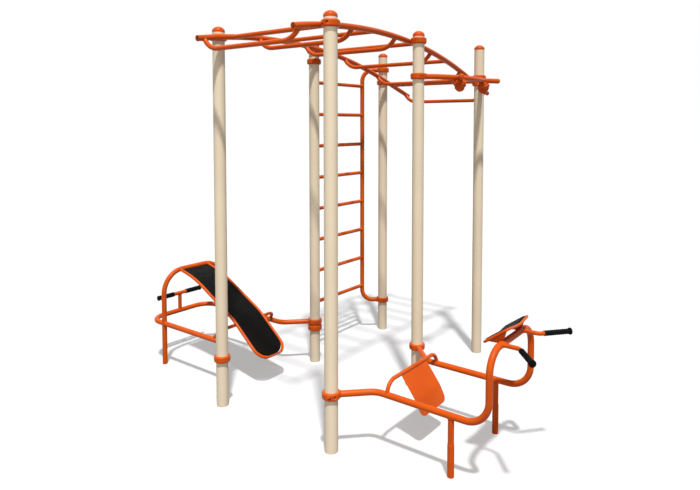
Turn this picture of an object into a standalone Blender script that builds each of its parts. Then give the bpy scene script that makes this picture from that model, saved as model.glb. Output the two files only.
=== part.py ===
"""Pull-up and sit-up station for a park: six tall posts in two rows of three.

An arched overhead ladder runs on two rails along the inner faces of the posts. A wall ladder
and a bowed pull-up bar close the second bay. A back-extension bench and a decline sit-up bench
hang on the first bay, one on each side. Clamps hold every frame to its posts, each made of two
cast halves that two bolts draw together.

Metres, +Z up. The origin is on the ground under the front left post. +X runs along a row of
posts, +Y from the front row to the back row.
"""

import math

import bmesh
import bpy
from mathutils import Matrix, Vector

# Clearances and overruns
GAP = 0.0003
OVERRUN = 0.02
MERGE_DISTANCE = 0.00001

# Tube stock
MAIN_TUBE = 0.0422
RUNG_TUBE = 0.0334
ARCH_TUBE = 0.0269
LEG_TUBE = 0.0381
FOOT_BAR_TUBE = 0.0334
SLEEVE_TUBE = 0.0424
BOARD_TUBE = 0.0240
HANDLE_TUBE = 0.0269
RAIL_WALL = 0.0036
TUBE_SIDES = 10
SMALL_TUBE_SIDES = 8
BEND_STEP = math.radians(22.5)

# Posts
POST_PITCH = 1.05
POST_DIAMETER = 0.0889
POST_WALL = 0.0032
POST_HEIGHT = 2.757
POST_FLOOR = 0.006
POST_SIDES = 16

# Domed post caps
CAP_DIAMETER = 0.0925
CAP_RISE = 0.035
CAP_LIP = 0.006
CAP_SPIGOT_DEPTH = 0.030
CAP_SPIGOT_CLEARANCE = 0.0012
CAP_SIDES = 12
CAP_STEPS = 3

# Post clamps: two cast half rings, drawn together by a bolt across each seam
CLAMP_DIAMETER = 0.121
CLAMP_HEIGHT = 0.048
CLAMP_SEAM = 0.002
CLAMP_STACK_GAP = 0.002
CLAMP_SPACING = 0.0045
POCKET_WEB = 0.009
POCKET_LENGTH = 0.018
POCKET_HEIGHT = 0.020
POCKET_FLOOR_RADIUS = 0.0470
BOLT_CIRCLE_RADIUS = 0.0535
BOLT_DIAMETER = 0.006
BOLT_HEAD_WIDTH = 0.0115
BOLT_HEAD_HEIGHT = 0.0045
BOLT_TAIL = 0.003
NUT_HEIGHT = 0.005
NUT_WIDTH = 0.0115
BOLT_SEAT_BITE = 0.0003
HEX_SIDES = 6
TUBE_ROOT = 0.010

# Overhead ladder
RAIL_CROWN_DROP = 0.0074
RAIL_CROWN_OFFSET = 0.029
RAIL_ARCH_RADIUS = 4.7
RAIL_STRAIGHT_BEFORE_FAR_POST = 0.157
RAIL_SEAT_DEPTH = 0.002
RAIL_OVERHANG = 0.058
RAIL_STEPS = 12
FIRST_RUNG_OUT = 0.1948
LAST_RUNG_OUT = 0.2916
DIPPED_RUNGS = 6
DIP_DROP = 0.083
DIP_RUN = 0.054
DIP_BEND_RADIUS = 0.155

# Wall ladder in the second bay
LADDER_TOP_DROP = 0.127
LADDER_BOTTOM = 0.303
LADDER_OUTSET = 0.148
LADDER_BEND_RADIUS = 0.110
LADDER_RUNGS = 8
LADDER_FIRST_RUNG = 0.152
LADDER_LAST_RUNG = 0.1625

# Pull-up bar in the second bay
FAR_RAIL_CLAMP_LIFT = 0.0149
PULL_UP_STEPS = 14
HOLD_SPACING = 0.420
HOLD_WIDTH = 0.104
HOLD_DEPTH = 0.090
HOLD_HEIGHT = 0.098
HOLD_SIDES = 12
HOLD_RINGS = 8
SIDE_GRIP_LENGTH = 0.160
SIDE_GRIP_ANGLE = math.radians(32)

# What the two benches share
BENCH_TUBE_SPACING = 0.634
BENCH_ELBOW_RADIUS = 0.120
CROSS_ARCH_RADIUS = 0.082

# Back-extension bench, in front of the first bay
FRONT_BENCH_HEIGHT = 0.370
LOOP_OUT = 0.986
LOOP_TOP = 0.806
LOOP_LOWER_RADIUS = 0.150
LOOP_UPPER_RADIUS = 0.135
ANKLE_ARCH_SETBACK = 0.082
ANKLE_ARCH_RISE = 0.084
FRONT_LEG_SETBACK = 0.240
LEG_SLEEVE_TOP = 0.200
FOOT_PLATE_WIDTH = 0.316
FOOT_PLATE_LENGTH = 0.300
FOOT_PLATE_TILT = math.radians(37.5)
FOOT_PLATE_LIP = 0.110
FOOT_PLATE_LIP_TILT = math.radians(28)
FOOT_PLATE_CORNER = 0.045
PLATE_THICKNESS = 0.005

# Hip pad on the loop's cross tube: a dished plate and pad in a bent rim
HIP_PAD_WIDTH = 0.324
HIP_PAD_LENGTH = 0.185
HIP_PAD_TILT = math.radians(35.6)
HIP_PAD_STANDOFF = 0.053
HIP_PAD_LOW_REACH = 0.128
HIP_PAD_DISH = 0.015
HIP_RIM_BAR = 0.016
HIP_RIM_CORNER = 0.025
HIP_PLATE_THICKNESS = 0.004
HIP_PAD_MARGIN = 0.003
HIP_PAD_THICKNESS = 0.010
HIP_PAD_EDGE = 0.003
HIP_WEB_SPACING = 0.280
HIP_WEB_THICKNESS = 0.006
HIP_WEB_MARGIN = 0.012

# Handles beyond the hip pad
HANDLE_SPREAD = 0.310
HANDLE_STUB = 0.110
HANDLE_SPLAY = math.radians(50)
HANDLE_ARM = 0.215
HANDLE_BEND_RADIUS = 0.045
HANDLE_GRIP = 0.035
HANDLE_GRIP_FLANGE = 0.043
HANDLE_GRIP_LENGTH = 0.180
GRIP_FLANGE_LENGTH = 0.012
GRIP_END_WALL = 0.004
GRIP_SIDES = 12

# Decline sit-up bench, behind the first bay
BACK_ARCH_RADIUS = 0.190
BACK_LEG_ROOT = 0.004
BACK_LOOP_REACH = 0.209
BACK_LOOP_RADIUS = 0.140
SUPPORT_ARCH_SETBACK = 0.1491
SUPPORT_ARCH_RISE = 0.1073
SUPPORT_ARCH_DOWN = 0.812
BOARD_WIDTH = 0.296
BOARD_CORNER = 0.110
BOARD_CREST_LENGTH = 0.120
BOARD_CREST_TILT = math.radians(15)
BOARD_CREST_RADIUS = 0.900
BOARD_HIGH_LENGTH = 0.400
BOARD_HIGH_TILT = math.radians(28.5)
BOARD_BEND_RADIUS = 0.420
BOARD_LOW_LENGTH = 0.380
BOARD_LOW_TILT = math.radians(39.5)
BOARD_BEND_STEPS = 2
BOARD_THICKNESS = 0.012
FOOT_BAR_RISE = 0.163
FOOT_BAR_LENGTH = 0.455
FOOT_GRIP = 0.043
FOOT_GRIP_FLANGE = 0.046
FOOT_GRIP_LENGTH = 0.160

COLLECTION_NAME = "pull_up_and_sit_up_station"
CUTTERS_NAME = "cutters"

# Sizes that follow from the ones above
POST_RADIUS = POST_DIAMETER / 2
CLAMP_RADIUS = CLAMP_DIAMETER / 2
MAIN_RADIUS = MAIN_TUBE / 2
BAY_CENTRE = POST_PITCH / 2
SECOND_BAY_CENTRE = POST_PITCH + BAY_CENTRE
FAR_POST = 2 * POST_PITCH
RAIL_CROWN_HEIGHT = POST_HEIGHT - RAIL_CROWN_DROP
RAIL_CROWN_REACH = BAY_CENTRE + RAIL_CROWN_OFFSET
RAIL_OUTSET = CLAMP_RADIUS + MAIN_RADIUS - RAIL_SEAT_DEPTH
FIRST_RUNG_ANGLE = -math.asin((RAIL_CROWN_REACH + FIRST_RUNG_OUT) / RAIL_ARCH_RADIUS)
RAIL_BEND_END = FAR_POST - RAIL_STRAIGHT_BEFORE_FAR_POST
RAIL_BEND_ANGLE = math.asin((RAIL_BEND_END - RAIL_CROWN_REACH) / RAIL_ARCH_RADIUS)
LAST_RUNG_PAST_BEND = (FAR_POST + LAST_RUNG_OUT - RAIL_BEND_END) / math.cos(RAIL_BEND_ANGLE)
LAST_RUNG_ANGLE = RAIL_BEND_ANGLE + LAST_RUNG_PAST_BEND / RAIL_ARCH_RADIUS
RUNG_STEP_ANGLE = (LAST_RUNG_ANGLE - FIRST_RUNG_ANGLE) / (DIPPED_RUNGS - 1)
LADDER_TOP = POST_HEIGHT - LADDER_TOP_DROP
LADDER_RUNG_RUN = LADDER_TOP - LADDER_BOTTOM - LADDER_FIRST_RUNG - LADDER_LAST_RUNG
PULL_UP_RADIUS = POST_PITCH / (2 * math.sin(math.pi / 4))
BENCH_LEFT = BAY_CENTRE - BENCH_TUBE_SPACING / 2
BENCH_RIGHT = BAY_CENTRE + BENCH_TUBE_SPACING / 2
ANKLE_ARCH_OUT = BENCH_LEFT + ANKLE_ARCH_SETBACK
FRONT_LEG_OUT = LOOP_OUT - FRONT_LEG_SETBACK
REAR_BENCH_HEIGHT = LADDER_BOTTOM + CLAMP_HEIGHT + CLAMP_SPACING
SUPPORT_ARCH_OUT = BENCH_LEFT + SUPPORT_ARCH_SETBACK

ALONG_ROW = Vector((1, 0, 0))
ACROSS_ROWS = Vector((0, 1, 0))
UP = Vector((0, 0, 1))


def clear_scene():
    for old in list(bpy.data.objects):
        bpy.data.objects.remove(old)


def new_collection(name):
    collection = bpy.data.collections.new(name)
    bpy.context.scene.collection.children.link(collection)
    return collection


def finish(name, colour, roughness, metallic):
    material = bpy.data.materials.new(name)
    material.use_nodes = True
    shader = material.node_tree.nodes["Principled BSDF"]
    shader.inputs["Base Color"].default_value = (*colour, 1)
    shader.inputs["Roughness"].default_value = roughness
    shader.inputs["Metallic"].default_value = metallic
    return material


clear_scene()
parts = new_collection(COLLECTION_NAME)
cutters = new_collection(CUTTERS_NAME)

orange_paint = finish("orange_powder_coat", (0.80, 0.135, 0.018), 0.42, 0)
sand_paint = finish("sand_powder_coat", (0.70, 0.59, 0.43), 0.45, 0)
black_rubber = finish("black_rubber", (0.012, 0.012, 0.011), 0.78, 0)
black_board = finish("black_board", (0.014, 0.013, 0.012), 0.55, 0)


def spot(x, y, z):
    return Vector((x, y, z))


def heading(angle):
    """The level direction at an angle from the row of posts."""
    return Vector((math.cos(angle), math.sin(angle), 0))


def bent(corners, radii):
    """The centre line of a tube that turns each inner corner on an arc."""
    line = [corners[0]]
    for before, corner, after, radius in zip(corners, corners[1:], corners[2:], radii):
        back = (before - corner).normalized()
        onward = (after - corner).normalized()
        turn = math.pi - back.angle(onward)
        centre = corner + (back + onward).normalized() * radius / math.cos(turn / 2)
        arm = corner + back * radius * math.tan(turn / 2) - centre
        last_arm = corner + onward * radius * math.tan(turn / 2) - centre
        axis = arm.cross(last_arm).normalized()
        steps = math.ceil(turn / BEND_STEP)
        for step in range(steps + 1):
            line.append(centre + Matrix.Rotation(turn * step / steps, 3, axis) @ arm)
    line.append(corners[-1])
    return line


def link(thing, collection, material):
    collection.objects.link(thing)
    if material:
        thing.data.materials.append(material)
    return thing


def smooth(thing):
    thing.data.shade_smooth()
    thing.data.set_sharp_from_angle(angle=math.radians(40))
    return thing


def evaluated_mesh(thing):
    """A welded mesh of the object as its modifiers leave it."""
    bpy.context.view_layer.update()
    seen = thing.evaluated_get(bpy.context.evaluated_depsgraph_get())
    mesh = bpy.data.meshes.new_from_object(seen)
    shape = bmesh.new()
    shape.from_mesh(mesh)
    bmesh.ops.remove_doubles(shape, verts=shape.verts, dist=MERGE_DISTANCE)
    shape.to_mesh(mesh)
    shape.free()
    return mesh


def as_mesh(drawn, collection, material):
    """Replaces a drawn object by a mesh object of the same name and place."""
    name = drawn.name
    place = drawn.matrix_world.copy()
    mesh = evaluated_mesh(drawn)
    mesh.name = name
    mesh.materials.clear()
    bpy.data.objects.remove(drawn)
    made = bpy.data.objects.new(name, mesh)
    made.matrix_world = place
    return smooth(link(made, collection, material))


def drawn_tube(name, line, diameter, sides, collection):
    """A curve with a round section; its ends stay open."""
    curve = bpy.data.curves.new(name, "CURVE")
    curve.dimensions = "3D"
    curve.bevel_depth = diameter / 2
    curve.bevel_resolution = sides // 2 - 2
    spline = curve.splines.new("POLY")
    spline.points.add(len(line) - 1)
    for point, place in zip(spline.points, line):
        point.co = (*place, 1)
    return link(bpy.data.objects.new(name, curve), collection, None)


def tube(name, line, diameter, material=orange_paint, sides=TUBE_SIDES, capped=True, collection=parts):
    """A round tube along a centre line, with flat ends or open ones."""
    drawn = drawn_tube(name, line, diameter, sides, collection)
    drawn.data.use_fill_caps = capped
    return as_mesh(drawn, collection, material)


def ring(name, line, diameter, material, sides):
    """A round bar bent into a closed ring."""
    drawn = drawn_tube(name, line, diameter, sides, parts)
    drawn.data.splines[0].use_cyclic_u = True
    return as_mesh(drawn, parts, material)


def turned(name, profile, sides, material=None, collection=parts):
    """A profile of radius and height turned round the upright axis."""
    mesh = bpy.data.meshes.new(name)
    shape = bmesh.new()
    points = [shape.verts.new((radius, 0, height)) for radius, height in profile]
    for first, second in zip(points, points[1:]):
        shape.edges.new((first, second))
    shape.to_mesh(mesh)
    shape.free()
    thing = link(bpy.data.objects.new(name, mesh), collection, material)
    screw = thing.modifiers.new("turn", "SCREW")
    screw.steps = sides
    screw.render_steps = sides
    screw.use_merge_vertices = True
    screw.merge_threshold = MERGE_DISTANCE
    return thing


def hidden(thing):
    """A piece that only shapes another one."""
    thing.hide_render = True
    thing.display_type = "WIRE"
    return thing


def combine(piece, other, operation):
    boolean = piece.modifiers.new(other.name, "BOOLEAN")
    boolean.operation = operation
    boolean.solver = "EXACT"
    boolean.object = other
    return piece


def cut(piece, space):
    """Takes a space out of the piece."""
    return combine(piece, space, "DIFFERENCE")


def weld(piece, addition):
    """Joins a hidden addition to the piece as one solid."""
    return combine(piece, addition, "UNION")


def tube_addition(name, line, diameter, sides=TUBE_SIDES):
    return hidden(tube(name, line, diameter, None, sides, collection=cutters))


def space_of_tube(name, line, diameter, sides=TUBE_SIDES):
    """The space that a tube takes, with the welding gap round it."""
    return tube_addition(name, line, diameter + 2 * GAP, sides)


def disc_cutter(name, x, y, z, radius, height):
    profile = [(0, height / 2), (radius, height / 2), (radius, -height / 2), (0, -height / 2)]
    disc = turned(name, profile, POST_SIDES, None, cutters)
    disc.location = (x, y, z)
    return hidden(disc)


def box_cutter(name, low, high):
    mesh = bpy.data.meshes.new(name)
    shape = bmesh.new()
    bmesh.ops.create_cube(shape, size=1)
    size = high - low
    bmesh.ops.scale(shape, vec=size, verts=shape.verts)
    bmesh.ops.translate(shape, vec=(low + high) / 2, verts=shape.verts)
    shape.to_mesh(mesh)
    shape.free()
    return hidden(link(bpy.data.objects.new(name, mesh), cutters, None))


def placed(name, mesh, place, material, collection=parts):
    """An object of a ready mesh, put in place."""
    thing = bpy.data.objects.new(name, mesh)
    thing.matrix_world = place
    if material and not mesh.materials:
        mesh.materials.append(material)
    collection.objects.link(thing)
    return smooth(thing)


def template(drawn):
    """The finished mesh of a drawn object, which is then removed."""
    mesh = evaluated_mesh(drawn)
    mesh.materials.clear()
    bpy.data.objects.remove(drawn)
    return mesh


# Posts and caps
POSTS = {
    "front_left": (0, 0),
    "front_middle": (POST_PITCH, 0),
    "front_right": (FAR_POST, 0),
    "back_left": (0, POST_PITCH),
    "back_middle": (POST_PITCH, POST_PITCH),
    "back_right": (FAR_POST, POST_PITCH),
}


def post(name, x, y):
    """A tube with a welded floor that stands flat on the ground."""
    bore = POST_RADIUS - POST_WALL
    profile = [
        (0, POST_FLOOR),
        (bore, POST_FLOOR),
        (bore, POST_HEIGHT),
        (POST_RADIUS, POST_HEIGHT),
        (POST_RADIUS, 0),
        (0, 0),
    ]
    thing = turned("post_" + name, profile, POST_SIDES, sand_paint)
    thing.location = (x, y, 0)


def post_cap_mesh():
    """A domed cap whose spigot drops into a post."""
    seat = POST_HEIGHT + GAP
    shoulder = seat + CAP_LIP
    radius = CAP_DIAMETER / 2
    spigot = POST_RADIUS - POST_WALL - CAP_SPIGOT_CLEARANCE
    angles = [math.pi / 2 * (1 - step / CAP_STEPS) for step in range(CAP_STEPS + 1)]
    dome = [(radius * math.cos(angle), shoulder + CAP_RISE * math.sin(angle)) for angle in angles]
    dome[0] = (0, shoulder + CAP_RISE)
    end = seat - CAP_SPIGOT_DEPTH
    foot = [(radius, seat), (spigot, seat), (spigot, end), (0, end)]
    return template(turned("post_cap", dome + foot, CAP_SIDES))


def posts():
    cap = post_cap_mesh()
    for name, (x, y) in POSTS.items():
        post(name, x, y)
        placed("post_cap_" + name, cap, Matrix.Translation((x, y, 0)), orange_paint)


# Clamps
def rail_height(x):
    """The height of the arched rails' centre line at a distance along the row."""
    reach = min(x, RAIL_BEND_END) - RAIL_CROWN_REACH
    drop = max(x - RAIL_BEND_END, 0) * math.tan(RAIL_BEND_ANGLE)
    return RAIL_CROWN_HEIGHT - RAIL_ARCH_RADIUS + math.sqrt(RAIL_ARCH_RADIUS**2 - reach**2) - drop


FAR_RAIL_CLAMP_HEIGHT = rail_height(FAR_POST) + FAR_RAIL_CLAMP_LIFT
PULL_UP_HEIGHT = FAR_RAIL_CLAMP_HEIGHT - CLAMP_HEIGHT - CLAMP_STACK_GAP


def eighth_turns(eighths):
    return math.pi / 4 * eighths


def clamp_sites():
    """Each clamp: its post, its height and the eighth of a turn its tube leaves at."""
    near = rail_height(0)
    middle = rail_height(POST_PITCH)
    far = FAR_RAIL_CLAMP_HEIGHT
    return {
        "rail_clamp_front_left": ("front_left", near, 2),
        "rail_clamp_front_middle": ("front_middle", middle, 2),
        "rail_clamp_front_right": ("front_right", far, 2),
        "rail_clamp_back_left": ("back_left", near, -2),
        "rail_clamp_back_middle": ("back_middle", middle, -2),
        "rail_clamp_back_right": ("back_right", far, -2),
        "ladder_clamp_upper_left": ("back_middle", LADDER_TOP, 1),
        "ladder_clamp_upper_right": ("back_right", LADDER_TOP, 3),
        "ladder_clamp_lower_left": ("back_middle", LADDER_BOTTOM, 1),
        "ladder_clamp_lower_right": ("back_right", LADDER_BOTTOM, 3),
        "pull_up_clamp_left": ("front_middle", PULL_UP_HEIGHT, -1),
        "pull_up_clamp_right": ("front_right", PULL_UP_HEIGHT, -3),
        "front_bench_clamp_left": ("front_left", FRONT_BENCH_HEIGHT, -1),
        "front_bench_clamp_right": ("front_middle", FRONT_BENCH_HEIGHT, -3),
        "rear_bench_clamp_left": ("back_left", REAR_BENCH_HEIGHT, 1),
        "rear_bench_clamp_right": ("back_middle", REAR_BENCH_HEIGHT, 3),
    }


def site_matrix(site):
    post_name, height, eighths = site
    x, y = POSTS[post_name]
    return Matrix.Translation((x, y, height)) @ Matrix.Rotation(eighth_turns(eighths), 4, "Z")


def clamp_half_mesh():
    """The half ring that carries the tube: it faces +X, with a bolt pocket near each end."""
    inner = POST_RADIUS + GAP
    half = CLAMP_HEIGHT / 2
    outer = CLAMP_RADIUS
    section = [(inner, half), (outer, half), (outer, -half), (inner, -half), (inner, half)]
    casting = turned("clamp_half", section, POST_SIDES)
    behind = spot(-CLAMP_RADIUS - OVERRUN, -CLAMP_RADIUS - OVERRUN, -half - OVERRUN)
    ahead = spot(CLAMP_SEAM / 2, CLAMP_RADIUS + OVERRUN, half + OVERRUN)
    cut(casting, box_cutter("other_half", behind, ahead))
    for side in (-1, 1):
        floor = side * POCKET_FLOOR_RADIUS
        mouth = side * (CLAMP_RADIUS + OVERRUN)
        low = spot(POCKET_WEB, min(floor, mouth), -POCKET_HEIGHT / 2)
        high = spot(POCKET_WEB + POCKET_LENGTH, max(floor, mouth), POCKET_HEIGHT / 2)
        cut(casting, box_cutter("pocket", low, high))
    return template(casting)


def clamp_bolt_mesh():
    """A hexagon bolt with its head on one web and its nut on the other, drawn up tight."""
    head = BOLT_HEAD_WIDTH / 2
    nut = NUT_WIDTH / 2
    shank = BOLT_DIAMETER / 2
    seat = POCKET_WEB - BOLT_SEAT_BITE
    profile = [
        (0, seat + BOLT_HEAD_HEIGHT),
        (head, seat + BOLT_HEAD_HEIGHT),
        (head, seat),
        (shank, seat),
        (shank, -seat),
        (nut, -seat),
        (nut, -seat - NUT_HEIGHT),
        (shank, -seat - NUT_HEIGHT),
        (shank, -seat - NUT_HEIGHT - BOLT_TAIL),
        (0, -seat - NUT_HEIGHT - BOLT_TAIL),
    ]
    return template(turned("clamp_bolt", profile, HEX_SIDES))


def clamp_mesh():
    """Two halves with a seam between them, held together by a bolt on each side."""
    half = clamp_half_mesh()
    bolt = clamp_bolt_mesh()
    clamp = placed("clamp", half, Matrix.Identity(4), None)
    turned_round = Matrix.Rotation(math.pi, 4, "Z")
    weld(clamp, hidden(placed("clamp_other_half", half.copy(), turned_round, None, cutters)))
    for side in (-1, 1):
        seam = Matrix.Translation((0, side * BOLT_CIRCLE_RADIUS, 0)) @ Matrix.Rotation(math.pi / 2, 4, "Y")
        weld(clamp, hidden(placed("clamp_bolt", bolt.copy(), seam, None, cutters)))
    return template(clamp)


def clamps(rail_spaces):
    """One clamp at each site; a rail's space is cut from the clamps that carry it."""
    mesh = clamp_mesh()
    for name, site in clamp_sites().items():
        clamp = placed(name, mesh, site_matrix(site), orange_paint)
        for row, space in rail_spaces.items():
            if name.startswith("rail_clamp_" + row):
                cut(clamp, space)


def clamp_space(post_name, height):
    """The space of a clamp, which shapes the end of the tube that is welded to it."""
    x, y = POSTS[post_name]
    name = "clamp_space_" + post_name
    return disc_cutter(name, x, y, height, CLAMP_RADIUS + GAP, CLAMP_HEIGHT + OVERRUN)


def clamp_root(post_name, height, eighths):
    """Where a tube's centre line starts, just inside the face of its clamp."""
    x, y = POSTS[post_name]
    return spot(x, y, height) + heading(eighth_turns(eighths)) * (CLAMP_RADIUS - TUBE_ROOT)


# Overhead ladder
def rail_point(angle, y):
    """A point of the rail's line, which is straight past its bend."""
    turn = min(angle, RAIL_BEND_ANGLE)
    straight = (angle - turn) * RAIL_ARCH_RADIUS
    x = RAIL_CROWN_REACH + RAIL_ARCH_RADIUS * math.sin(turn) + straight * math.cos(turn)
    z = RAIL_CROWN_HEIGHT - RAIL_ARCH_RADIUS * (1 - math.cos(turn)) - straight * math.sin(turn)
    return spot(x, y, z)


def rail_line(y):
    overhang = RAIL_OVERHANG / RAIL_ARCH_RADIUS
    start = FIRST_RUNG_ANGLE - overhang
    span = LAST_RUNG_ANGLE + overhang - start
    return [rail_point(start + span * step / RAIL_STEPS, y) for step in range(RAIL_STEPS + 1)]


RAIL_SIDES = {"front": RAIL_OUTSET, "back": POST_PITCH - RAIL_OUTSET}


def rail(side, y):
    """An arched tube with open ends."""
    thing = tube("rail_" + side, rail_line(y), MAIN_TUBE, capped=False)
    wall = thing.modifiers.new("wall", "SOLIDIFY")
    wall.thickness = RAIL_WALL
    wall.offset = -1


def dipped_rung_line(angle):
    """A rung that drops from both rails to a lower grip."""
    front = rail_point(angle, RAIL_SIDES["front"])
    back = rail_point(angle, RAIL_SIDES["back"])
    low = DIP_DROP * UP
    inward = DIP_RUN * ACROSS_ROWS
    corners = [front, front + inward - low, back - inward - low, back]
    return bent(corners, [DIP_BEND_RADIUS, DIP_BEND_RADIUS])


def overhead_rungs(rail_spaces):
    """Six dipped rungs, and a straight one midway between each two."""
    for number in range(DIPPED_RUNGS):
        angle = FIRST_RUNG_ANGLE + RUNG_STEP_ANGLE * number
        rung = tube("dipped_rung_" + str(number + 1), dipped_rung_line(angle), RUNG_TUBE)
        for space in rail_spaces.values():
            cut(rung, space)
    for number in range(DIPPED_RUNGS - 1):
        angle = FIRST_RUNG_ANGLE + RUNG_STEP_ANGLE * (number + 1 / 2)
        line = [rail_point(angle, y) for y in RAIL_SIDES.values()]
        rung = tube("straight_rung_" + str(number + 1), line, RUNG_TUBE)
        for space in rail_spaces.values():
            cut(rung, space)


# Wall ladder
def stile_line(post_name, eighths, along):
    """From the upper clamp out to the ladder's plane, down, and back to the lower clamp."""
    x, y = POSTS[post_name]
    outer = spot(x + along * LADDER_OUTSET, y + LADDER_OUTSET, 0)
    corners = [
        clamp_root(post_name, LADDER_TOP, eighths),
        outer + LADDER_TOP * UP,
        outer + LADDER_BOTTOM * UP,
        clamp_root(post_name, LADDER_BOTTOM, eighths),
    ]
    return bent(corners, [LADDER_BEND_RADIUS, LADDER_BEND_RADIUS])


def wall_ladder():
    """Two bent stiles with eight rungs welded between them."""
    ladder = tube("wall_ladder", stile_line("back_middle", 1, 1), MAIN_TUBE)
    weld(ladder, tube_addition("ladder_stile", stile_line("back_right", 3, -1), MAIN_TUBE))
    left = POST_PITCH + LADDER_OUTSET
    right = FAR_POST - LADDER_OUTSET
    plane = POST_PITCH + LADDER_OUTSET
    for number in range(LADDER_RUNGS):
        height = LADDER_BOTTOM + LADDER_FIRST_RUNG + LADDER_RUNG_RUN * number / (LADDER_RUNGS - 1)
        line = [spot(left, plane, height), spot(right, plane, height)]
        weld(ladder, tube_addition("ladder_rung", line, RUNG_TUBE))
    for post_name in ("back_middle", "back_right"):
        for height in (LADDER_TOP, LADDER_BOTTOM):
            cut(ladder, clamp_space(post_name, height))


# Pull-up bar
def pull_up_point(angle):
    """A point of the bar's plan arc; the angle is zero at its middle."""
    x = SECOND_BAY_CENTRE + PULL_UP_RADIUS * math.sin(angle)
    y = PULL_UP_RADIUS * (math.cos(math.pi / 4) - math.cos(angle))
    return spot(x, y, PULL_UP_HEIGHT)


def hold_place(side):
    return pull_up_point(side * math.asin(HOLD_SPACING / 2 / PULL_UP_RADIUS))


def hand_hold(side):
    """A cast rounded hold under the bar."""
    name = "hand_hold"
    mesh = bpy.data.meshes.new(name)
    shape = bmesh.new()
    bmesh.ops.create_uvsphere(shape, u_segments=HOLD_SIDES, v_segments=HOLD_RINGS, radius=0.5)
    bmesh.ops.scale(shape, vec=(HOLD_WIDTH, HOLD_DEPTH, HOLD_HEIGHT), verts=shape.verts)
    centre = hold_place(side) - (HOLD_HEIGHT / 2 + MAIN_RADIUS / 2) * UP
    bmesh.ops.translate(shape, vec=centre, verts=shape.verts)
    shape.to_mesh(mesh)
    shape.free()
    return hidden(link(bpy.data.objects.new(name, mesh), cutters, None))


def side_grip_line(side):
    """A short stub leaves the bar outwards over each hold."""
    start = hold_place(side)
    away = spot(side * math.cos(SIDE_GRIP_ANGLE), -math.sin(SIDE_GRIP_ANGLE), 0)
    return [start, start + away * SIDE_GRIP_LENGTH]


def pull_up_bar():
    """The bowed bar with a hold and a side grip welded to it on each side."""
    reach = math.pi / 4 - (CLAMP_RADIUS - TUBE_ROOT) / PULL_UP_RADIUS
    steps = range(PULL_UP_STEPS + 1)
    line = [pull_up_point(reach * (2 * step / PULL_UP_STEPS - 1)) for step in steps]
    bar = tube("pull_up_bar", line, MAIN_TUBE)
    for side in (-1, 1):
        weld(bar, tube_addition("side_grip", side_grip_line(side), MAIN_TUBE))
        weld(bar, hand_hold(side))
    cut(bar, clamp_space("front_middle", PULL_UP_HEIGHT))
    cut(bar, clamp_space("front_right", PULL_UP_HEIGHT))


# Frames and plates that both benches have
def cross_arch_line(foot, crest):
    """A low arch that stands on the two bench tubes, its plane through a foot and a crest."""
    corners = [
        spot(BENCH_LEFT, foot.y, foot.z),
        spot(BENCH_LEFT, crest.y, crest.z),
        spot(BENCH_RIGHT, crest.y, crest.z),
        spot(BENCH_RIGHT, foot.y, foot.z),
    ]
    return bent(corners, [CROSS_ARCH_RADIUS, CROSS_ARCH_RADIUS])


def formed_sheet(name, columns, rows, corner, rounded_rows, follow, thickness, material, collection=parts):
    """A plate with rounded corners, cut flat and then formed to a shape.

    It is divided at the columns across it and the rows down it. The corners of the rounded
    rows are cut to an arc. follow gives the place of a point from its column and its row.
    """
    mesh = bpy.data.meshes.new(name)
    shape = bmesh.new()
    lines = [[shape.verts.new((column, row, 0)) for column in columns] for row in rows]
    for upper, lower in zip(lines, lines[1:]):
        for place in range(len(columns) - 1):
            shape.faces.new((upper[place], lower[place], lower[place + 1], upper[place + 1]))
    corners = [lines[row][end] for row in rounded_rows for end in (0, -1)]
    bmesh.ops.bevel(shape, geom=corners, offset=corner, segments=3, profile=0.5, affect="VERTICES")
    for vertex in shape.verts:
        vertex.co = follow(vertex.co.x, vertex.co.y)
    bmesh.ops.triangulate(shape, faces=shape.faces)
    shape.to_mesh(mesh)
    shape.free()
    thing = smooth(link(bpy.data.objects.new(name, mesh), collection, material))
    wall = thing.modifiers.new("thickness", "SOLIDIFY")
    wall.thickness = thickness
    wall.offset = 0
    wall.use_even_offset = True
    return thing


def grip(name, tip, away, bore, outer, flange, length):
    """A rubber sleeve pushed over the end of a tube, closed and flared at its outer end."""
    hole = (bore / 2 + GAP) / math.cos(math.pi / GRIP_SIDES)
    end = GAP + GRIP_END_WALL
    profile = [
        (0, end),
        (flange / 2, end),
        (flange / 2, end - GRIP_FLANGE_LENGTH),
        (outer / 2, end - GRIP_FLANGE_LENGTH),
        (outer / 2, -length),
        (hole, -length),
        (hole, GAP),
        (0, GAP),
    ]
    sleeve = template(turned(name, profile, GRIP_SIDES))
    place = Matrix.Translation(tip) @ away.to_track_quat("Z", "Y").to_matrix().to_4x4()
    placed(name, sleeve, place, black_rubber)


# Back-extension bench
def front_tube_line():
    """From clamp to clamp: out, up, across, and the same way back."""
    turn = BENCH_LEFT
    corners = [
        clamp_root("front_left", FRONT_BENCH_HEIGHT, -1),
        spot(BENCH_LEFT, -turn, FRONT_BENCH_HEIGHT),
        spot(BENCH_LEFT, -LOOP_OUT, FRONT_BENCH_HEIGHT),
        spot(BENCH_LEFT, -LOOP_OUT, LOOP_TOP),
        spot(BENCH_RIGHT, -LOOP_OUT, LOOP_TOP),
        spot(BENCH_RIGHT, -LOOP_OUT, FRONT_BENCH_HEIGHT),
        spot(BENCH_RIGHT, -turn, FRONT_BENCH_HEIGHT),
        clamp_root("front_middle", FRONT_BENCH_HEIGHT, -3),
    ]
    radii = [BENCH_ELBOW_RADIUS, LOOP_LOWER_RADIUS, LOOP_UPPER_RADIUS]
    return bent(corners, radii + radii[::-1])


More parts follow.
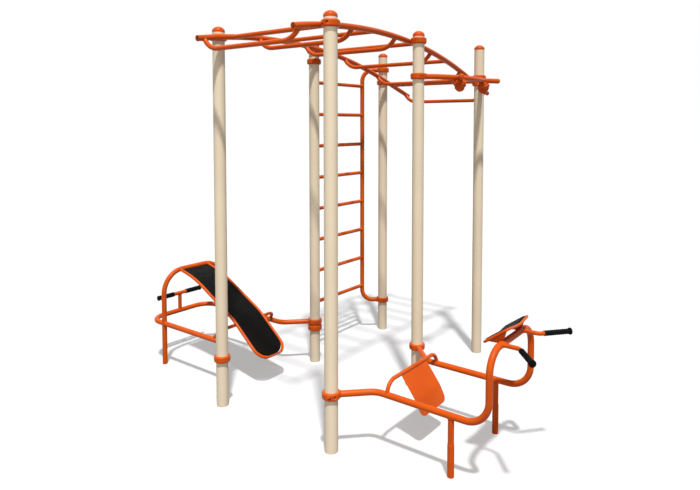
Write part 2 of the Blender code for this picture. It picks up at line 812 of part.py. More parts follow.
def bench_legs(bench_space):
    """Legs under the tubes, each stepping out to the ground sleeve that holds it."""
    sleeve = SLEEVE_TUBE / 2
    leg = LEG_TUBE / 2
    top = FRONT_BENCH_HEIGHT
    step = LEG_SLEEVE_TOP
    profile = [(0, top), (leg, top), (leg, step), (sleeve, step), (sleeve, 0), (0, 0)]
    for word, x in (("left", BENCH_LEFT), ("right", BENCH_RIGHT)):
        thing = turned("front_leg_" + word, profile, GRIP_SIDES, orange_paint)
        thing.location = (x, -FRONT_LEG_OUT, 0)
        cut(thing, bench_space)


def ankle_arch_crest():
    return spot(BAY_CENTRE, -ANKLE_ARCH_OUT, FRONT_BENCH_HEIGHT + ANKLE_ARCH_RISE)


def foot_plate_place(across, down):
    """The foot plate hangs from the ankle arch and is bent steeper towards its lower end."""
    top = ankle_arch_crest()
    out = spot(0, -math.sin(FOOT_PLATE_TILT), -math.cos(FOOT_PLATE_TILT))
    lip = spot(0, -math.sin(FOOT_PLATE_LIP_TILT), -math.cos(FOOT_PLATE_LIP_TILT))
    flat = FOOT_PLATE_LENGTH - FOOT_PLATE_LIP
    return top + across * ALONG_ROW + out * min(down, flat) + lip * max(down - flat, 0)


def foot_plate():
    half = FOOT_PLATE_WIDTH / 2
    rows = [0, FOOT_PLATE_LENGTH - FOOT_PLATE_LIP, FOOT_PLATE_LENGTH]
    columns = [-half, half]
    return hidden(
        formed_sheet(
            "foot_plate",
            columns,
            rows,
            FOOT_PLATE_CORNER,
            [-1],
            foot_plate_place,
            PLATE_THICKNESS,
            None,
            cutters,
        )
    )


def hip_slope():
    return spot(0, -math.cos(HIP_PAD_TILT), math.sin(HIP_PAD_TILT))


def hip_normal():
    return spot(0, math.sin(HIP_PAD_TILT), math.cos(HIP_PAD_TILT))


def hip_pad_place(across, up, lift=0):
    """A point of the hip pad: across it, up its slope, and off its dished middle surface."""
    low = spot(BAY_CENTRE, -LOOP_OUT, LOOP_TOP + HIP_PAD_STANDOFF) - hip_slope() * HIP_PAD_LOW_REACH
    dish = HIP_PAD_DISH * abs(across) / (HIP_PAD_WIDTH / 2)
    return low + across * ALONG_ROW + up * hip_slope() + (lift + dish) * hip_normal()


def hip_rim_line():
    """Once round the pad, with a kink where its fold crosses each end."""
    half = HIP_PAD_WIDTH / 2
    top_middle = spot(0, HIP_PAD_LENGTH, 0)
    corners = [
        top_middle,
        spot(half, HIP_PAD_LENGTH, 0),
        spot(half, 0, 0),
        spot(0, 0, 0),
        spot(-half, 0, 0),
        spot(-half, HIP_PAD_LENGTH, 0),
        top_middle,
    ]
    right = bent(corners[:4], [HIP_RIM_CORNER, HIP_RIM_CORNER])
    left = bent(corners[3:], [HIP_RIM_CORNER, HIP_RIM_CORNER])
    return [hip_pad_place(point.x, point.y) for point in right + left[1:-1]]


def hip_sheet(name, inset, thickness, lift, material, collection=parts):
    """A dished sheet inside the rim, off the middle surface by a lift."""
    half = HIP_PAD_WIDTH / 2 - inset
    rows = [inset, HIP_PAD_LENGTH - inset]
    corner = HIP_RIM_CORNER - HIP_RIM_BAR / 2

    def place(across, up):
        return hip_pad_place(across, up, lift)

    return formed_sheet(
        name, [-half, 0, half], rows, corner, [0, -1], place, thickness, material, collection
    )


def hip_web_mesh():
    """An upright web between the cross tube and the underside of the hip plate."""
    across = HIP_WEB_SPACING / 2
    low = hip_pad_place(across, HIP_WEB_MARGIN)
    high = hip_pad_place(across, HIP_PAD_LENGTH - HIP_WEB_MARGIN)
    curve = bpy.data.curves.new("hip_web", "CURVE")
    curve.dimensions = "2D"
    curve.fill_mode = "BOTH"
    curve.extrude = HIP_WEB_THICKNESS / 2
    spline = curve.splines.new("POLY")
    outline = [(low.y, low.z), (high.y, high.z), (-LOOP_OUT, LOOP_TOP)]
    spline.points.add(len(outline) - 1)
    for point, (y, z) in zip(spline.points, outline):
        point.co = (y, z, 0, 1)
    spline.use_cyclic_u = True
    return template(link(bpy.data.objects.new("hip_web", curve), parts, None))


def hip_pad_pieces(bench_space):
    """A welded tray of rim, plate and two webs, with the pad fixed in it."""
    tray = ring("hip_pad_tray", hip_rim_line(), HIP_RIM_BAR, orange_paint, SMALL_TUBE_SIDES)
    weld(tray, hidden(hip_sheet("hip_pad_plate", 0, HIP_PLATE_THICKNESS, 0, None, cutters)))
    web = hip_web_mesh()
    upright = Matrix(((0, 0, 1, 0), (1, 0, 0, 0), (0, 1, 0, 0), (0, 0, 0, 1)))
    for side in (-1, 1):
        place = Matrix.Translation((BAY_CENTRE + side * HIP_WEB_SPACING / 2, 0, 0)) @ upright
        weld(tray, hidden(placed("hip_pad_web", web, place, None, cutters)))
    cut(tray, bench_space)
    inset = HIP_RIM_BAR / 2 + GAP + HIP_PAD_MARGIN
    lift = HIP_PLATE_THICKNESS / 2 + GAP + HIP_PAD_THICKNESS / 2
    pad = hip_sheet("hip_pad", inset, HIP_PAD_THICKNESS, lift, black_rubber)
    edge = pad.modifiers.new("edge", "BEVEL")
    edge.width = HIP_PAD_EDGE
    edge.segments = 1


def handle(bench, word, side):
    """A tube out from the cross tube, splayed outwards, with a rubber grip on its arm."""
    start = spot(BAY_CENTRE + side * HANDLE_SPREAD / 2, -LOOP_OUT, LOOP_TOP)
    elbow = start - HANDLE_STUB * ACROSS_ROWS
    away = spot(side * math.sin(HANDLE_SPLAY), -math.cos(HANDLE_SPLAY), 0)
    tip = elbow + away * HANDLE_ARM
    line = bent([start, elbow, tip], [HANDLE_BEND_RADIUS])
    weld(bench, tube_addition("handle", line, HANDLE_TUBE))
    name = "handle_grip_" + word
    grip(name, tip, away, HANDLE_TUBE, HANDLE_GRIP, HANDLE_GRIP_FLANGE, HANDLE_GRIP_LENGTH)


def front_bench():
    line = front_tube_line()
    bench = tube("front_bench_tube", line, MAIN_TUBE)
    for word, side in (("left", -1), ("right", 1)):
        handle(bench, word, side)
    cut(bench, clamp_space("front_left", FRONT_BENCH_HEIGHT))
    cut(bench, clamp_space("front_middle", FRONT_BENCH_HEIGHT))
    bench_space = space_of_tube("front_tube_space", line, MAIN_TUBE)
    bench_legs(bench_space)
    crest = ankle_arch_crest()
    arch_line = cross_arch_line(crest - ANKLE_ARCH_RISE * UP, crest)
    arch = tube("ankle_arch", arch_line, ARCH_TUBE)
    weld(arch, foot_plate())
    cut(arch, bench_space)
    hip_pad_pieces(bench_space)


# Decline sit-up bench
def board_runs():
    """The runs of the board from its top: the length of each, and its tilt at both ends."""
    crest_bend = BOARD_CREST_RADIUS * (BOARD_HIGH_TILT - BOARD_CREST_TILT)
    low_bend = BOARD_BEND_RADIUS * (BOARD_LOW_TILT - BOARD_HIGH_TILT)
    return [
        (BOARD_CREST_LENGTH, BOARD_CREST_TILT, BOARD_CREST_TILT),
        (crest_bend, BOARD_CREST_TILT, BOARD_HIGH_TILT),
        (BOARD_HIGH_LENGTH, BOARD_HIGH_TILT, BOARD_HIGH_TILT),
        (low_bend, BOARD_HIGH_TILT, BOARD_LOW_TILT),
        (BOARD_LOW_LENGTH, BOARD_LOW_TILT, BOARD_LOW_TILT),
    ]


def board_length():
    return sum(length for length, first, last in board_runs())


def board_stations():
    """The distances down the board at which its bends start, turn and end."""
    stations = []
    start = 0
    for length, first, last in board_runs():
        if first != last:
            for step in range(BOARD_BEND_STEPS + 1):
                stations.append(start + length * step / BOARD_BEND_STEPS)
        start += length
    return stations


def board_tilt(down):
    tilt = BOARD_CREST_TILT
    for length, first, last in board_runs():
        tilt += (last - first) * min(max(down, 0), length) / length
        down -= length
    return tilt


def board_reach(down):
    """How far a place down the board is from its top, on the level and in height."""
    level = 0
    drop = 0
    for length, first, last in board_runs():
        part = min(max(down, 0), length)
        down -= length
        if first == last:
            level += part * math.cos(first)
            drop += part * math.sin(first)
        else:
            radius = length / (last - first)
            tilt = first + part / radius
            level += radius * (math.sin(tilt) - math.sin(first))
            drop += radius * (math.cos(first) - math.cos(tilt))
    return level, drop


def support_normal():
    """Square to the board where the support arch meets it."""
    tilt = board_tilt(SUPPORT_ARCH_DOWN)
    return spot(0, -math.sin(tilt), math.cos(tilt))


def support_foot():
    return spot(BAY_CENTRE, POST_PITCH + SUPPORT_ARCH_OUT, REAR_BENCH_HEIGHT)


def board_top():
    """The top of the board, found from the support arch that carries its lower half."""
    level, drop = board_reach(SUPPORT_ARCH_DOWN)
    standoff = SUPPORT_ARCH_RISE + (BOARD_TUBE + ARCH_TUBE) / 2
    return support_foot() + standoff * support_normal() + spot(0, level, drop)


def board_place(across, down):
    """A point of the board's middle surface, across it and down along its runs and bends."""
    level, drop = board_reach(down)
    return board_top() + spot(across, -level, -drop)


def back_arch_line():
    """From the ground up, across under the top of the board, and down again."""
    top = board_top()
    corners = [
        spot(BENCH_LEFT, top.y, 0),
        spot(BENCH_LEFT, top.y, top.z),
        spot(BENCH_RIGHT, top.y, top.z),
        spot(BENCH_RIGHT, top.y, 0),
    ]
    return bent(corners, [BACK_ARCH_RADIUS, BACK_ARCH_RADIUS])


def side_tube_line(post_name, eighths, x):
    """From the clamp out to the arch's leg."""
    turn = POST_PITCH + BENCH_LEFT
    end = board_top().y - BACK_LEG_ROOT
    corners = [
        clamp_root(post_name, REAR_BENCH_HEIGHT, eighths),
        spot(x, turn, REAR_BENCH_HEIGHT),
        spot(x, end, REAR_BENCH_HEIGHT),
    ]
    return bent(corners, [BENCH_ELBOW_RADIUS])


def end_tube_line():
    """Behind the arch, from one leg round to the other."""
    start = board_top().y + BACK_LEG_ROOT
    end = board_top().y + BACK_LOOP_REACH
    corners = [
        spot(BENCH_LEFT, start, REAR_BENCH_HEIGHT),
        spot(BENCH_LEFT, end, REAR_BENCH_HEIGHT),
        spot(BENCH_RIGHT, end, REAR_BENCH_HEIGHT),
        spot(BENCH_RIGHT, start, REAR_BENCH_HEIGHT),
    ]
    return bent(corners, [BACK_LOOP_RADIUS, BACK_LOOP_RADIUS])


def board_frame_line():
    """Down one side of the board, round its lower end and up the other."""
    half = BOARD_WIDTH / 2
    end = board_length()
    corners = [spot(-half, 0, 0), spot(-half, end, 0), spot(half, end, 0), spot(half, 0, 0)]
    flat = bent(corners, [BOARD_CORNER, BOARD_CORNER])
    down_side = [flat[0]] + [spot(-half, row, 0) for row in board_stations()]
    up_side = [spot(half, row, 0) for row in board_stations()[::-1]] + [flat[-1]]
    return [board_place(point.x, point.y) for point in down_side + flat[1:-1] + up_side]


def sit_up_board():
    """A flat board that fills the bent frame."""
    margin = BOARD_TUBE / 2 + GAP
    half = BOARD_WIDTH / 2 - margin
    rows = [MAIN_RADIUS + BOARD_TUBE / 2, *board_stations(), board_length() - margin]
    formed_sheet(
        "sit_up_board",
        [-half, half],
        rows,
        BOARD_CORNER,
        [-1],
        board_place,
        BOARD_THICKNESS,
        black_board,
    )


def support_arch_line():
    """The arch leans square to the board's frame, which rests on its crest."""
    foot = support_foot()
    return cross_arch_line(foot, foot + SUPPORT_ARCH_RISE * support_normal())


def foot_bar(end_tube):
    """A stub on the end tube carries a cross tube with a grip on each end."""
    bottom = spot(BAY_CENTRE, board_top().y + BACK_LOOP_REACH, REAR_BENCH_HEIGHT)
    top = bottom + FOOT_BAR_RISE * UP
    half = FOOT_BAR_LENGTH / 2 * ALONG_ROW
    weld(end_tube, tube_addition("foot_bar_stub", [bottom, top], FOOT_BAR_TUBE))
    weld(end_tube, tube_addition("foot_bar", [top - half, top + half], FOOT_BAR_TUBE))
    for word, side in (("left", -1), ("right", 1)):
        tip = top + side * half
        name = "foot_grip_" + word
        away = side * ALONG_ROW
        grip(name, tip, away, FOOT_BAR_TUBE, FOOT_GRIP, FOOT_GRIP_FLANGE, FOOT_GRIP_LENGTH)


def rear_bench():
    arch = back_arch_line()
    arch_space = space_of_tube("back_arch_space", arch, MAIN_TUBE)
    tube("rear_arch", arch, MAIN_TUBE)
    support = tube("support_arch", support_arch_line(), ARCH_TUBE)
    sides = (("left", "back_left", 1, BENCH_LEFT), ("right", "back_middle", 3, BENCH_RIGHT))
    for word, post_name, eighths, x in sides:
        line = side_tube_line(post_name, eighths, x)
        side_tube = tube("rear_side_tube_" + word, line, MAIN_TUBE)
        cut(side_tube, clamp_space(post_name, REAR_BENCH_HEIGHT))
        cut(side_tube, arch_space)
        cut(support, space_of_tube("side_tube_space_" + word, line, MAIN_TUBE))
    end_tube = tube("rear_end_tube", end_tube_line(), MAIN_TUBE)
    foot_bar(end_tube)
    cut(end_tube, arch_space)
    frame_line = board_frame_line()
    frame = tube("board_frame", frame_line, BOARD_TUBE, orange_paint, SMALL_TUBE_SIDES)
    cut(frame, arch_space)
    cut(support, space_of_tube("board_frame_space", frame_line, BOARD_TUBE, SMALL_TUBE_SIDES))
    sit_up_board()


posts()
front_rail_space = space_of_tube("front_rail_space", rail_line(RAIL_SIDES["front"]), MAIN_TUBE)
back_rail_space = space_of_tube("back_rail_space", rail_line(RAIL_SIDES["back"]), MAIN_TUBE)
RAIL_SPACES = {"front": front_rail_space, "back": back_rail_space}
clamps(RAIL_SPACES)
for rail_side, rail_y in RAIL_SIDES.items():
    rail(rail_side, rail_y)
overhead_rungs(RAIL_SPACES)
wall_ladder()
pull_up_bar()
front_bench()
rear_bench()
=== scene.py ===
import math

import bmesh
import bpy
from mathutils import Matrix, Vector, noise


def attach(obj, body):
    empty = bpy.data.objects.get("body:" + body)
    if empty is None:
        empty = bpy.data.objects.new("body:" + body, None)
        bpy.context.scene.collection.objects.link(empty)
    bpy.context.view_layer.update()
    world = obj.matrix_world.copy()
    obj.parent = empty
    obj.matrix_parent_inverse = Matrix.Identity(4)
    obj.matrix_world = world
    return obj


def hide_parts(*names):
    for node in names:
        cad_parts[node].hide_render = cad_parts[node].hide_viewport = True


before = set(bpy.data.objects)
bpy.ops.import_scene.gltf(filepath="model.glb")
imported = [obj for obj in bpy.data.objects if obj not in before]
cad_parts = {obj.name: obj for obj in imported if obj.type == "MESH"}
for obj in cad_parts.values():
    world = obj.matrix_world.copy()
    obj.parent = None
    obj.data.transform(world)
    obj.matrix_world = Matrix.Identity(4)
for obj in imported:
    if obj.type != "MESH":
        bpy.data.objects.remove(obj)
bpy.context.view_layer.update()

# The camera stands at head height, a little to the left of the nearest post, and looks almost
# level across the station. Its lens and shift give the frame of the picture.
EYE = Vector((-2.8946, -2.3857, 2.1014))
LOOK_ALONG = 0.7981
LOOK_ACROSS = 0.6025
LOOK_DOWN = math.radians(2.934)
FOCAL_LENGTH = 30.84
SENSOR = 36
SHIFT_RIGHT = -0.0090
SHIFT_UP = -0.1303

look = Vector((LOOK_ALONG, LOOK_ACROSS, -math.tan(LOOK_DOWN)))
camera = bpy.data.objects.new("camera", bpy.data.cameras.new("camera"))
camera.location = EYE
camera.rotation_euler = look.to_track_quat("-Z", "Y").to_euler()
camera.data.lens = FOCAL_LENGTH
camera.data.sensor_width = SENSOR
camera.data.shift_x = SHIFT_RIGHT
camera.data.shift_y = SHIFT_UP
scene = bpy.context.scene
scene.collection.objects.link(camera)
scene.camera = camera
scene.view_settings.view_transform = "Standard"

# The studio: one high sun behind the camera that throws short shadows on the floor, a broad
# soft lamp beside it, and an even grey surround that the camera itself sees as white.
SUN_TRAVEL = Vector((0.31, 0.30, -1))
SUN_STRENGTH = 4.1
SUN_SPREAD = math.radians(3.0)
SOFT_LAMP_PLACE = Vector((-4.4, -2.2, 3.3))
SOFT_LAMP_TARGET = Vector((0.9, 0.6, 1.1))
SOFT_LAMP_SIZE = 3.2
SOFT_LAMP_POWER = 85
SURROUND_STRENGTH = 0.20
WHITE = (1, 1, 1, 1)


def lamp(name, kind, place, way, energy):
    """A lamp at a place that shines along a direction."""
    made = bpy.data.objects.new(name, bpy.data.lights.new(name, kind))
    made.location = place
    made.rotation_euler = way.to_track_quat("-Z", "Y").to_euler()
    made.data.energy = energy
    scene.collection.objects.link(made)
    return made.data


def feed(tree, socket, value):
    """Links a socket to another node's socket, or sets it to a plain value."""
    if isinstance(value, bpy.types.NodeSocket):
        tree.links.new(value, socket)
    else:
        socket.default_value = value


def new_node(tree, kind, inputs):
    """A node whose inputs, by name or number, are fed with sockets or values."""
    made = tree.nodes.new(kind)
    for socket, value in inputs.items():
        feed(tree, made.inputs[socket], value)
    return made


def reckoned(tree, operation, *values):
    """The result of a sum on sockets and values."""
    step = new_node(tree, "ShaderNodeMath", dict(enumerate(values)))
    step.operation = operation
    return step.outputs["Value"]


def two_ways(tree, thrown, seen):
    """A shader for scattered rays, and another for the camera, mirror-like surfaces and glass."""
    path = new_node(tree, "ShaderNodeLightPath", {}).outputs
    factor = path["Is Camera Ray"]
    for ray in ("Is Glossy Ray", "Is Transmission Ray"):
        factor = reckoned(tree, "MAXIMUM", factor, path[ray])
    ways = {"Fac": factor, 1: thrown.outputs[0], 2: seen.outputs[0]}
    return new_node(tree, "ShaderNodeMixShader", ways).outputs["Shader"]


sun = lamp("sun", "SUN", Vector(), SUN_TRAVEL, SUN_STRENGTH)
sun.angle = SUN_SPREAD
lamp_way = SOFT_LAMP_TARGET - SOFT_LAMP_PLACE
soft_lamp = lamp("soft_lamp", "AREA", SOFT_LAMP_PLACE, lamp_way, SOFT_LAMP_POWER)
soft_lamp.size = SOFT_LAMP_SIZE
world = bpy.data.worlds.new("studio")
scene.world = world
world.use_nodes = True
sky = world.node_tree
surround = sky.nodes["Background"]
feed(sky, surround.inputs["Color"], WHITE)
feed(sky, surround.inputs["Strength"], SURROUND_STRENGTH)
backdrop = new_node(sky, "ShaderNodeBackground", {"Color": WHITE})
feed(sky, sky.nodes["World Output"].inputs["Surface"], two_ways(sky, surround, backdrop))

# The floor is a wide pale disc. The camera sees it brightened towards white with the shadows of
# the tubes on it, and it throws back only a little light, so that undersides stay dark.
FLOOR_RADIUS = 60
FLOOR_SIDES = 64
FLOOR_DEPTH = 0.0005
FLOOR_COLOUR = (0.49, 0.49, 0.495, 1)
FLOOR_BOUNCE = (0.23, 0.23, 0.235, 1)
FLOOR_GLOW = 0.345


def new_object(name, shape, material):
    """An object in the scene, made of a shape and a material."""
    mesh = bpy.data.meshes.new(name)
    shape.to_mesh(mesh)
    shape.free()
    mesh.materials.append(material)
    thing = bpy.data.objects.new(name, mesh)
    scene.collection.objects.link(thing)
    return thing


floor_shape = bmesh.new()
bmesh.ops.create_circle(floor_shape, cap_ends=True, segments=FLOOR_SIDES, radius=FLOOR_RADIUS)
bmesh.ops.translate(floor_shape, vec=(0, 0, -FLOOR_DEPTH), verts=floor_shape.verts)
pale = bpy.data.materials.new("pale_floor")
pale.use_nodes = True
tree = pale.node_tree
tree.nodes.remove(tree.nodes["Principled BSDF"])
matte = new_node(tree, "ShaderNodeBsdfDiffuse", {"Color": FLOOR_COLOUR})
dull = new_node(tree, "ShaderNodeBsdfDiffuse", {"Color": FLOOR_BOUNCE})
glow = new_node(tree, "ShaderNodeEmission", {"Color": WHITE, "Strength": FLOOR_GLOW})
brightened = new_node(tree, "ShaderNodeAddShader", {0: matte.outputs[0], 1: glow.outputs[0]})
feed(tree, tree.nodes["Material Output"].inputs["Surface"], two_ways(tree, dull, brightened))
floor = new_object("floor", floor_shape, pale)

# Six posts of thick round steel tube, powder coated sand. They stand in two rows of three and
# everything else is clamped to them. The cut edge of each is broken at the ground.
POST_PITCH = 1.05
POST_RADIUS = 0.0889 / 2
POST_WALL = 0.0032
POST_HEIGHT = 2.757
POST_FLOOR = 0.006
POST_STEPS = 56
POST_EDGE = 0.0015
MERGE = 0.00001
SHARP_ANGLE = math.radians(38)
PAINT_SPECULAR = 0.12
CLOUD_SCALE = 3.1
CLOUD_TONE = 0.6
LEAST_TONE = 0.15
PATCH_SCALE = 46
SPECK_SCALE = 620
SPECK_DUST = 0.14
LEVEL_DUST = 0.13
PEEL_SCALE = 430
GRAIN_SCALE = 1500
GRAIN_SHARE = 0.35
# Tones are clean, shaded and dusty, gloss runs from smoothest to roughest, and peel is a depth
# with its strength.
SAND_TONES = ((0.80, 0.675, 0.495, 1), (0.74, 0.615, 0.445, 1), (0.80, 0.76, 0.70, 1))
SAND_GLOSS = (0.36, 0.50)
SAND_PEEL = (0.0003, 0.22)


def surface_group(name, amounts):
    """A node group that takes three tones and some amounts, and the sockets that bring them."""
    group = bpy.data.node_groups.new(name, "ShaderNodeTree")
    tones = ("Colour", "Shade Colour", "Dust Colour")
    for side, colours, values in (
        ("INPUT", tones, amounts),
        ("OUTPUT", ("Colour",), ("Roughness", "Height")),
    ):
        for socket in colours:
            group.interface.new_socket(socket, in_out=side, socket_type="NodeSocketColor")
        for socket in values:
            group.interface.new_socket(socket, in_out=side, socket_type="NodeSocketFloat")
    return group, new_node(group, "NodeGroupInput", {}).outputs


def noise_field(tree, place, scale, detail, roughness=0.5):
    """A noise of a scale over a place."""
    inputs = {"Vector": place, "Scale": scale, "Detail": detail, "Roughness": roughness}
    return new_node(tree, "ShaderNodeTexNoise", inputs).outputs["Fac"]


def ranged(tree, value, low, high, first=0, last=1):
    """The value from its low to its high, spread from first to last."""
    ends = {"Value": value, "From Min": low, "From Max": high, "To Min": first, "To Max": last}
    return new_node(tree, "ShaderNodeMapRange", ends).outputs["Result"]


def mixed(tree, factor, first, second):
    """A colour between two colours."""
    mix = new_node(tree, "ShaderNodeMix", {"Factor": factor})
    mix.data_type = "RGBA"
    ends = [socket for socket in mix.inputs if socket.type == "RGBA"]
    for socket, colour in zip(ends, (first, second)):
        feed(tree, socket, colour)
    return next(socket for socket in mix.outputs if socket.type == "RGBA")


def powder_coat_group():
    """Baked powder paint: faint clouds of tone, dust on what faces up, and a fine orange peel."""
    group, given = surface_group("powder_coat_surface", ("Smoothest", "Roughest"))
    place = new_node(group, "ShaderNodeTexCoord", {}).outputs["Object"]
    normal = new_node(group, "ShaderNodeNewGeometry", {}).outputs["Normal"]
    upward = new_node(group, "ShaderNodeSeparateXYZ", {0: normal}).outputs["Z"]
    cloud = ranged(group, noise_field(group, place, CLOUD_SCALE, 4), 0.34, 0.66)
    patch = ranged(group, noise_field(group, place, PATCH_SCALE, 3), 0.3, 0.7)
    tone = reckoned(group, "MULTIPLY_ADD", cloud, CLOUD_TONE, LEAST_TONE)
    painted = mixed(group, tone, given["Colour"], given["Shade Colour"])
    dust = reckoned(group, "MULTIPLY", ranged(group, upward, 0.55, 1, 0, LEVEL_DUST), patch)
    speck = ranged(group, noise_field(group, place, SPECK_SCALE, 1), 0.71, 0.78, 0, SPECK_DUST)
    soiled = reckoned(group, "MAXIMUM", dust, speck)
    gloss = ranged(group, patch, 0, 1, given["Smoothest"], given["Roughest"])
    peel = noise_field(group, place, PEEL_SCALE, 2)
    grain = noise_field(group, place, GRAIN_SCALE, 1)
    looks = {
        "Colour": mixed(group, soiled, painted, given["Dust Colour"]),
        "Roughness": reckoned(group, "ADD", gloss, soiled),
        "Height": reckoned(group, "MULTIPLY_ADD", grain, GRAIN_SHARE, peel),
    }
    new_node(group, "NodeGroupOutput", looks)
    return group


def finish(name, group, tones, amounts, bumps, specular=PAINT_SPECULAR):
    """A material whose colour, roughness and bump come from a surface group."""
    material = bpy.data.materials.new(name)
    material.use_nodes = True
    tree = material.node_tree
    surface = tree.nodes.new("ShaderNodeGroup")
    surface.node_tree = group
    for socket, value in zip(surface.inputs, (*tones, *amounts)):
        socket.default_value = value
    depth, strength = bumps
    heights = {"Distance": depth, "Strength": strength, "Height": surface.outputs["Height"]}
    shader = tree.nodes["Principled BSDF"]
    feed(tree, shader.inputs["Specular IOR Level"], specular)
    feed(tree, shader.inputs["Base Color"], surface.outputs["Colour"])
    feed(tree, shader.inputs["Roughness"], surface.outputs["Roughness"])
    feed(tree, shader.inputs["Normal"], new_node(tree, "ShaderNodeBump", heights).outputs["Normal"])
    return material


def fitted(name, shape, material, node, sharp=SHARP_ANGLE):
    """Welds a piece's seams, turns its faces outwards and puts it in place of its plain solid."""
    bmesh.ops.remove_doubles(shape, verts=shape.verts, dist=MERGE)
    bmesh.ops.recalc_face_normals(shape, faces=shape.faces)
    thing = new_object(name, shape, material)
    thing.data.shade_smooth()
    thing.data.set_sharp_from_angle(angle=sharp)
    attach(thing, "root")
    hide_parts(node)
    return thing


def spun(shape, geom, angle, steps, centre=(0, 0, 0), axis=(0, 0, 1), merged=False):
    """Spins parts of a shape round an axis. The seam of a full turn is merged."""
    return bmesh.ops.spin(
        shape, geom=geom, cent=centre, axis=axis, angle=angle, steps=steps, use_merge=merged
    )


def turned(profile, steps, place):
    """A profile of radius and height spun once round the upright axis, then put in its place."""
    shape = bmesh.new()
    points = [shape.verts.new((radius, 0, height)) for radius, height in profile]
    edges = [shape.edges.new(pair) for pair in zip(points, points[1:])]
    spun(shape, points + edges, 2 * math.pi, steps, merged=True)
    bmesh.ops.remove_doubles(shape, verts=shape.verts, dist=MERGE)
    bmesh.ops.transform(shape, matrix=place, verts=shape.verts)
    return shape


powder_coat = powder_coat_group()
sand_paint = finish("sand_powder_coat_fine", powder_coat, SAND_TONES, SAND_GLOSS, SAND_PEEL)
POSTS = {
    row + "_" + place: Vector((x * POST_PITCH, y * POST_PITCH, 0))
    for y, row in enumerate(("front", "back"))
    for x, place in enumerate(("left", "middle", "right"))
}
post_bore = POST_RADIUS - POST_WALL
post_profile = [
    (0, POST_FLOOR),
    (post_bore, POST_FLOOR),
    (post_bore, POST_HEIGHT),
    (POST_RADIUS, POST_HEIGHT),
    (POST_RADIUS, POST_EDGE),
    (POST_RADIUS - POST_EDGE, 0),
    (0, 0),
]
for name, place in POSTS.items():
    post_shape = turned(post_profile, POST_STEPS, Matrix.Translation(place))
    fitted("coated_post_" + name, post_shape, sand_paint, "post_" + name)

# A domed aluminium cap closes the top of every post. It is cast with a short skirt and a soft
# brow, powder coated orange, and its spigot is driven into the tube.
CAP_RADIUS = 0.0925 / 2
CAP_RISE = 0.035
CAP_LIP = 0.006
CAP_GAP = 0.0003
CAP_SPIGOT = 0.030
CAP_SPIGOT_CLEARANCE = 0.0012
CAP_STEPS = 48
DOME_STEPS = 12
CAP_EDGE = 0.0015
ORANGE_TONES = ((0.64, 0.094, 0.005, 1), (0.52, 0.066, 0.003, 1), (0.66, 0.15, 0.03, 1))
ORANGE_GLOSS = (0.27, 0.40)
ORANGE_PEEL = (0.0003, 0.20)


def coated(name, shape, node):
    """Fits a piece that is powder coated orange."""
    return fitted(name, shape, orange_paint, node)


orange_paint = finish(
    "orange_powder_coat_fine", powder_coat, ORANGE_TONES, ORANGE_GLOSS, ORANGE_PEEL
)
cap_seat = POST_HEIGHT + CAP_GAP
brow = cap_seat + CAP_LIP
cap_profile = [(0, brow + CAP_RISE)]
for step in range(1, DOME_STEPS + 1):
    angle = math.pi / 2 * (1 - step / DOME_STEPS)
    cap_profile.append((CAP_RADIUS * math.cos(angle), brow + CAP_RISE * math.sin(angle)))
spigot_radius = post_bore - CAP_SPIGOT_CLEARANCE
cap_profile += [
    (CAP_RADIUS, cap_seat + CAP_EDGE),
    (CAP_RADIUS - CAP_EDGE, cap_seat),
    (spigot_radius, cap_seat),
    (spigot_radius, cap_seat - CAP_SPIGOT),
    (0, cap_seat - CAP_SPIGOT),
]
for name, place in POSTS.items():
    cap_shape = turned(cap_profile, CAP_STEPS, Matrix.Translation(place))
    coated("cast_cap_" + name, cap_shape, "post_cap_" + name)

# Sixteen clamps grip the posts. Each is two cast half rings with a crowned outer face, and on
# each side a painted bolt lies in two scooped pockets and draws them together. The pocket floors
# and the bolts are coloured a deep orange, which is painted shade.
CLAMP_RADIUS = 0.121 / 2
CLAMP_HALF_HEIGHT = 0.048 / 2
CLAMP_CROWN = 0.0115
CROWN_SEGMENTS = 5
CLAMP_SEAM = 0.002
CLAMP_STEPS = 24
CLAMP_CLEARANCE = 0.0003
CLAMP_EDGE = 0.0009
CLAMP_SHARP = math.radians(40)
POCKET_HALF_HEIGHT = 0.012
POCKET_FIRST_ANGLE = math.radians(56)
POCKET_LAST_ANGLE = math.radians(84)
POCKET_SLOPE = 0.0018
POCKET_FLOOR = 0.0470
BOLT_CIRCLE = 0.0537
BOLT_SEAT = 0.0088
BOLT_EDGE = 0.0005
BOLT_SHARP = math.radians(50)
HEAD_RADIUS = 0.0064
HEAD_HEIGHT = 0.0045
HEAD_SIDES = 6
WASHER_RADIUS = 0.0068
WASHER_HEIGHT = 0.0011
WASHER_SIDES = 20
NUT_HEIGHT = 0.0050
SHANK_RADIUS = 0.0030
SHANK_TAIL = 0.0030
SHANK_SIDES = 14
# The pocket colours are painted shade: a deep orange that darkens the scooped pockets and bolts.
POCKET_SHADE_ORANGE = (0.22, 0.026, 0.002, 1)
POCKET_SHADE_DEEP = (0.09, 0.010, 0.002, 1)
POCKET_GLOSS = (0.45, 0.65)
POCKET_PEEL = (0.0003, 0.25)
FAR_CLAMP_HEIGHT = 2.506
LADDER_TOP = 2.630
LADDER_BOTTOM = 0.303
PULL_UP_HEIGHT = 2.456
FRONT_BENCH_HEIGHT = 0.370
REAR_BENCH_HEIGHT = 0.3555
RAIL_CROWN_HEIGHT = 2.7496
RAIL_CROWN_REACH = 0.554
RAIL_ARCH_RADIUS = 4.7
ALONG = Vector((1, 0, 0))
ACROSS = Vector((0, 1, 0))
UP = Vector((0, 0, 1))


def rail_height(x):
    """The height of the arched rails' centre line at a distance along the row."""
    reach = x - RAIL_CROWN_REACH
    return RAIL_CROWN_HEIGHT - RAIL_ARCH_RADIUS + math.sqrt(RAIL_ARCH_RADIUS**2 - reach**2)


def verts_of(parts):
    return [part for part in parts if isinstance(part, bmesh.types.BMVert)]


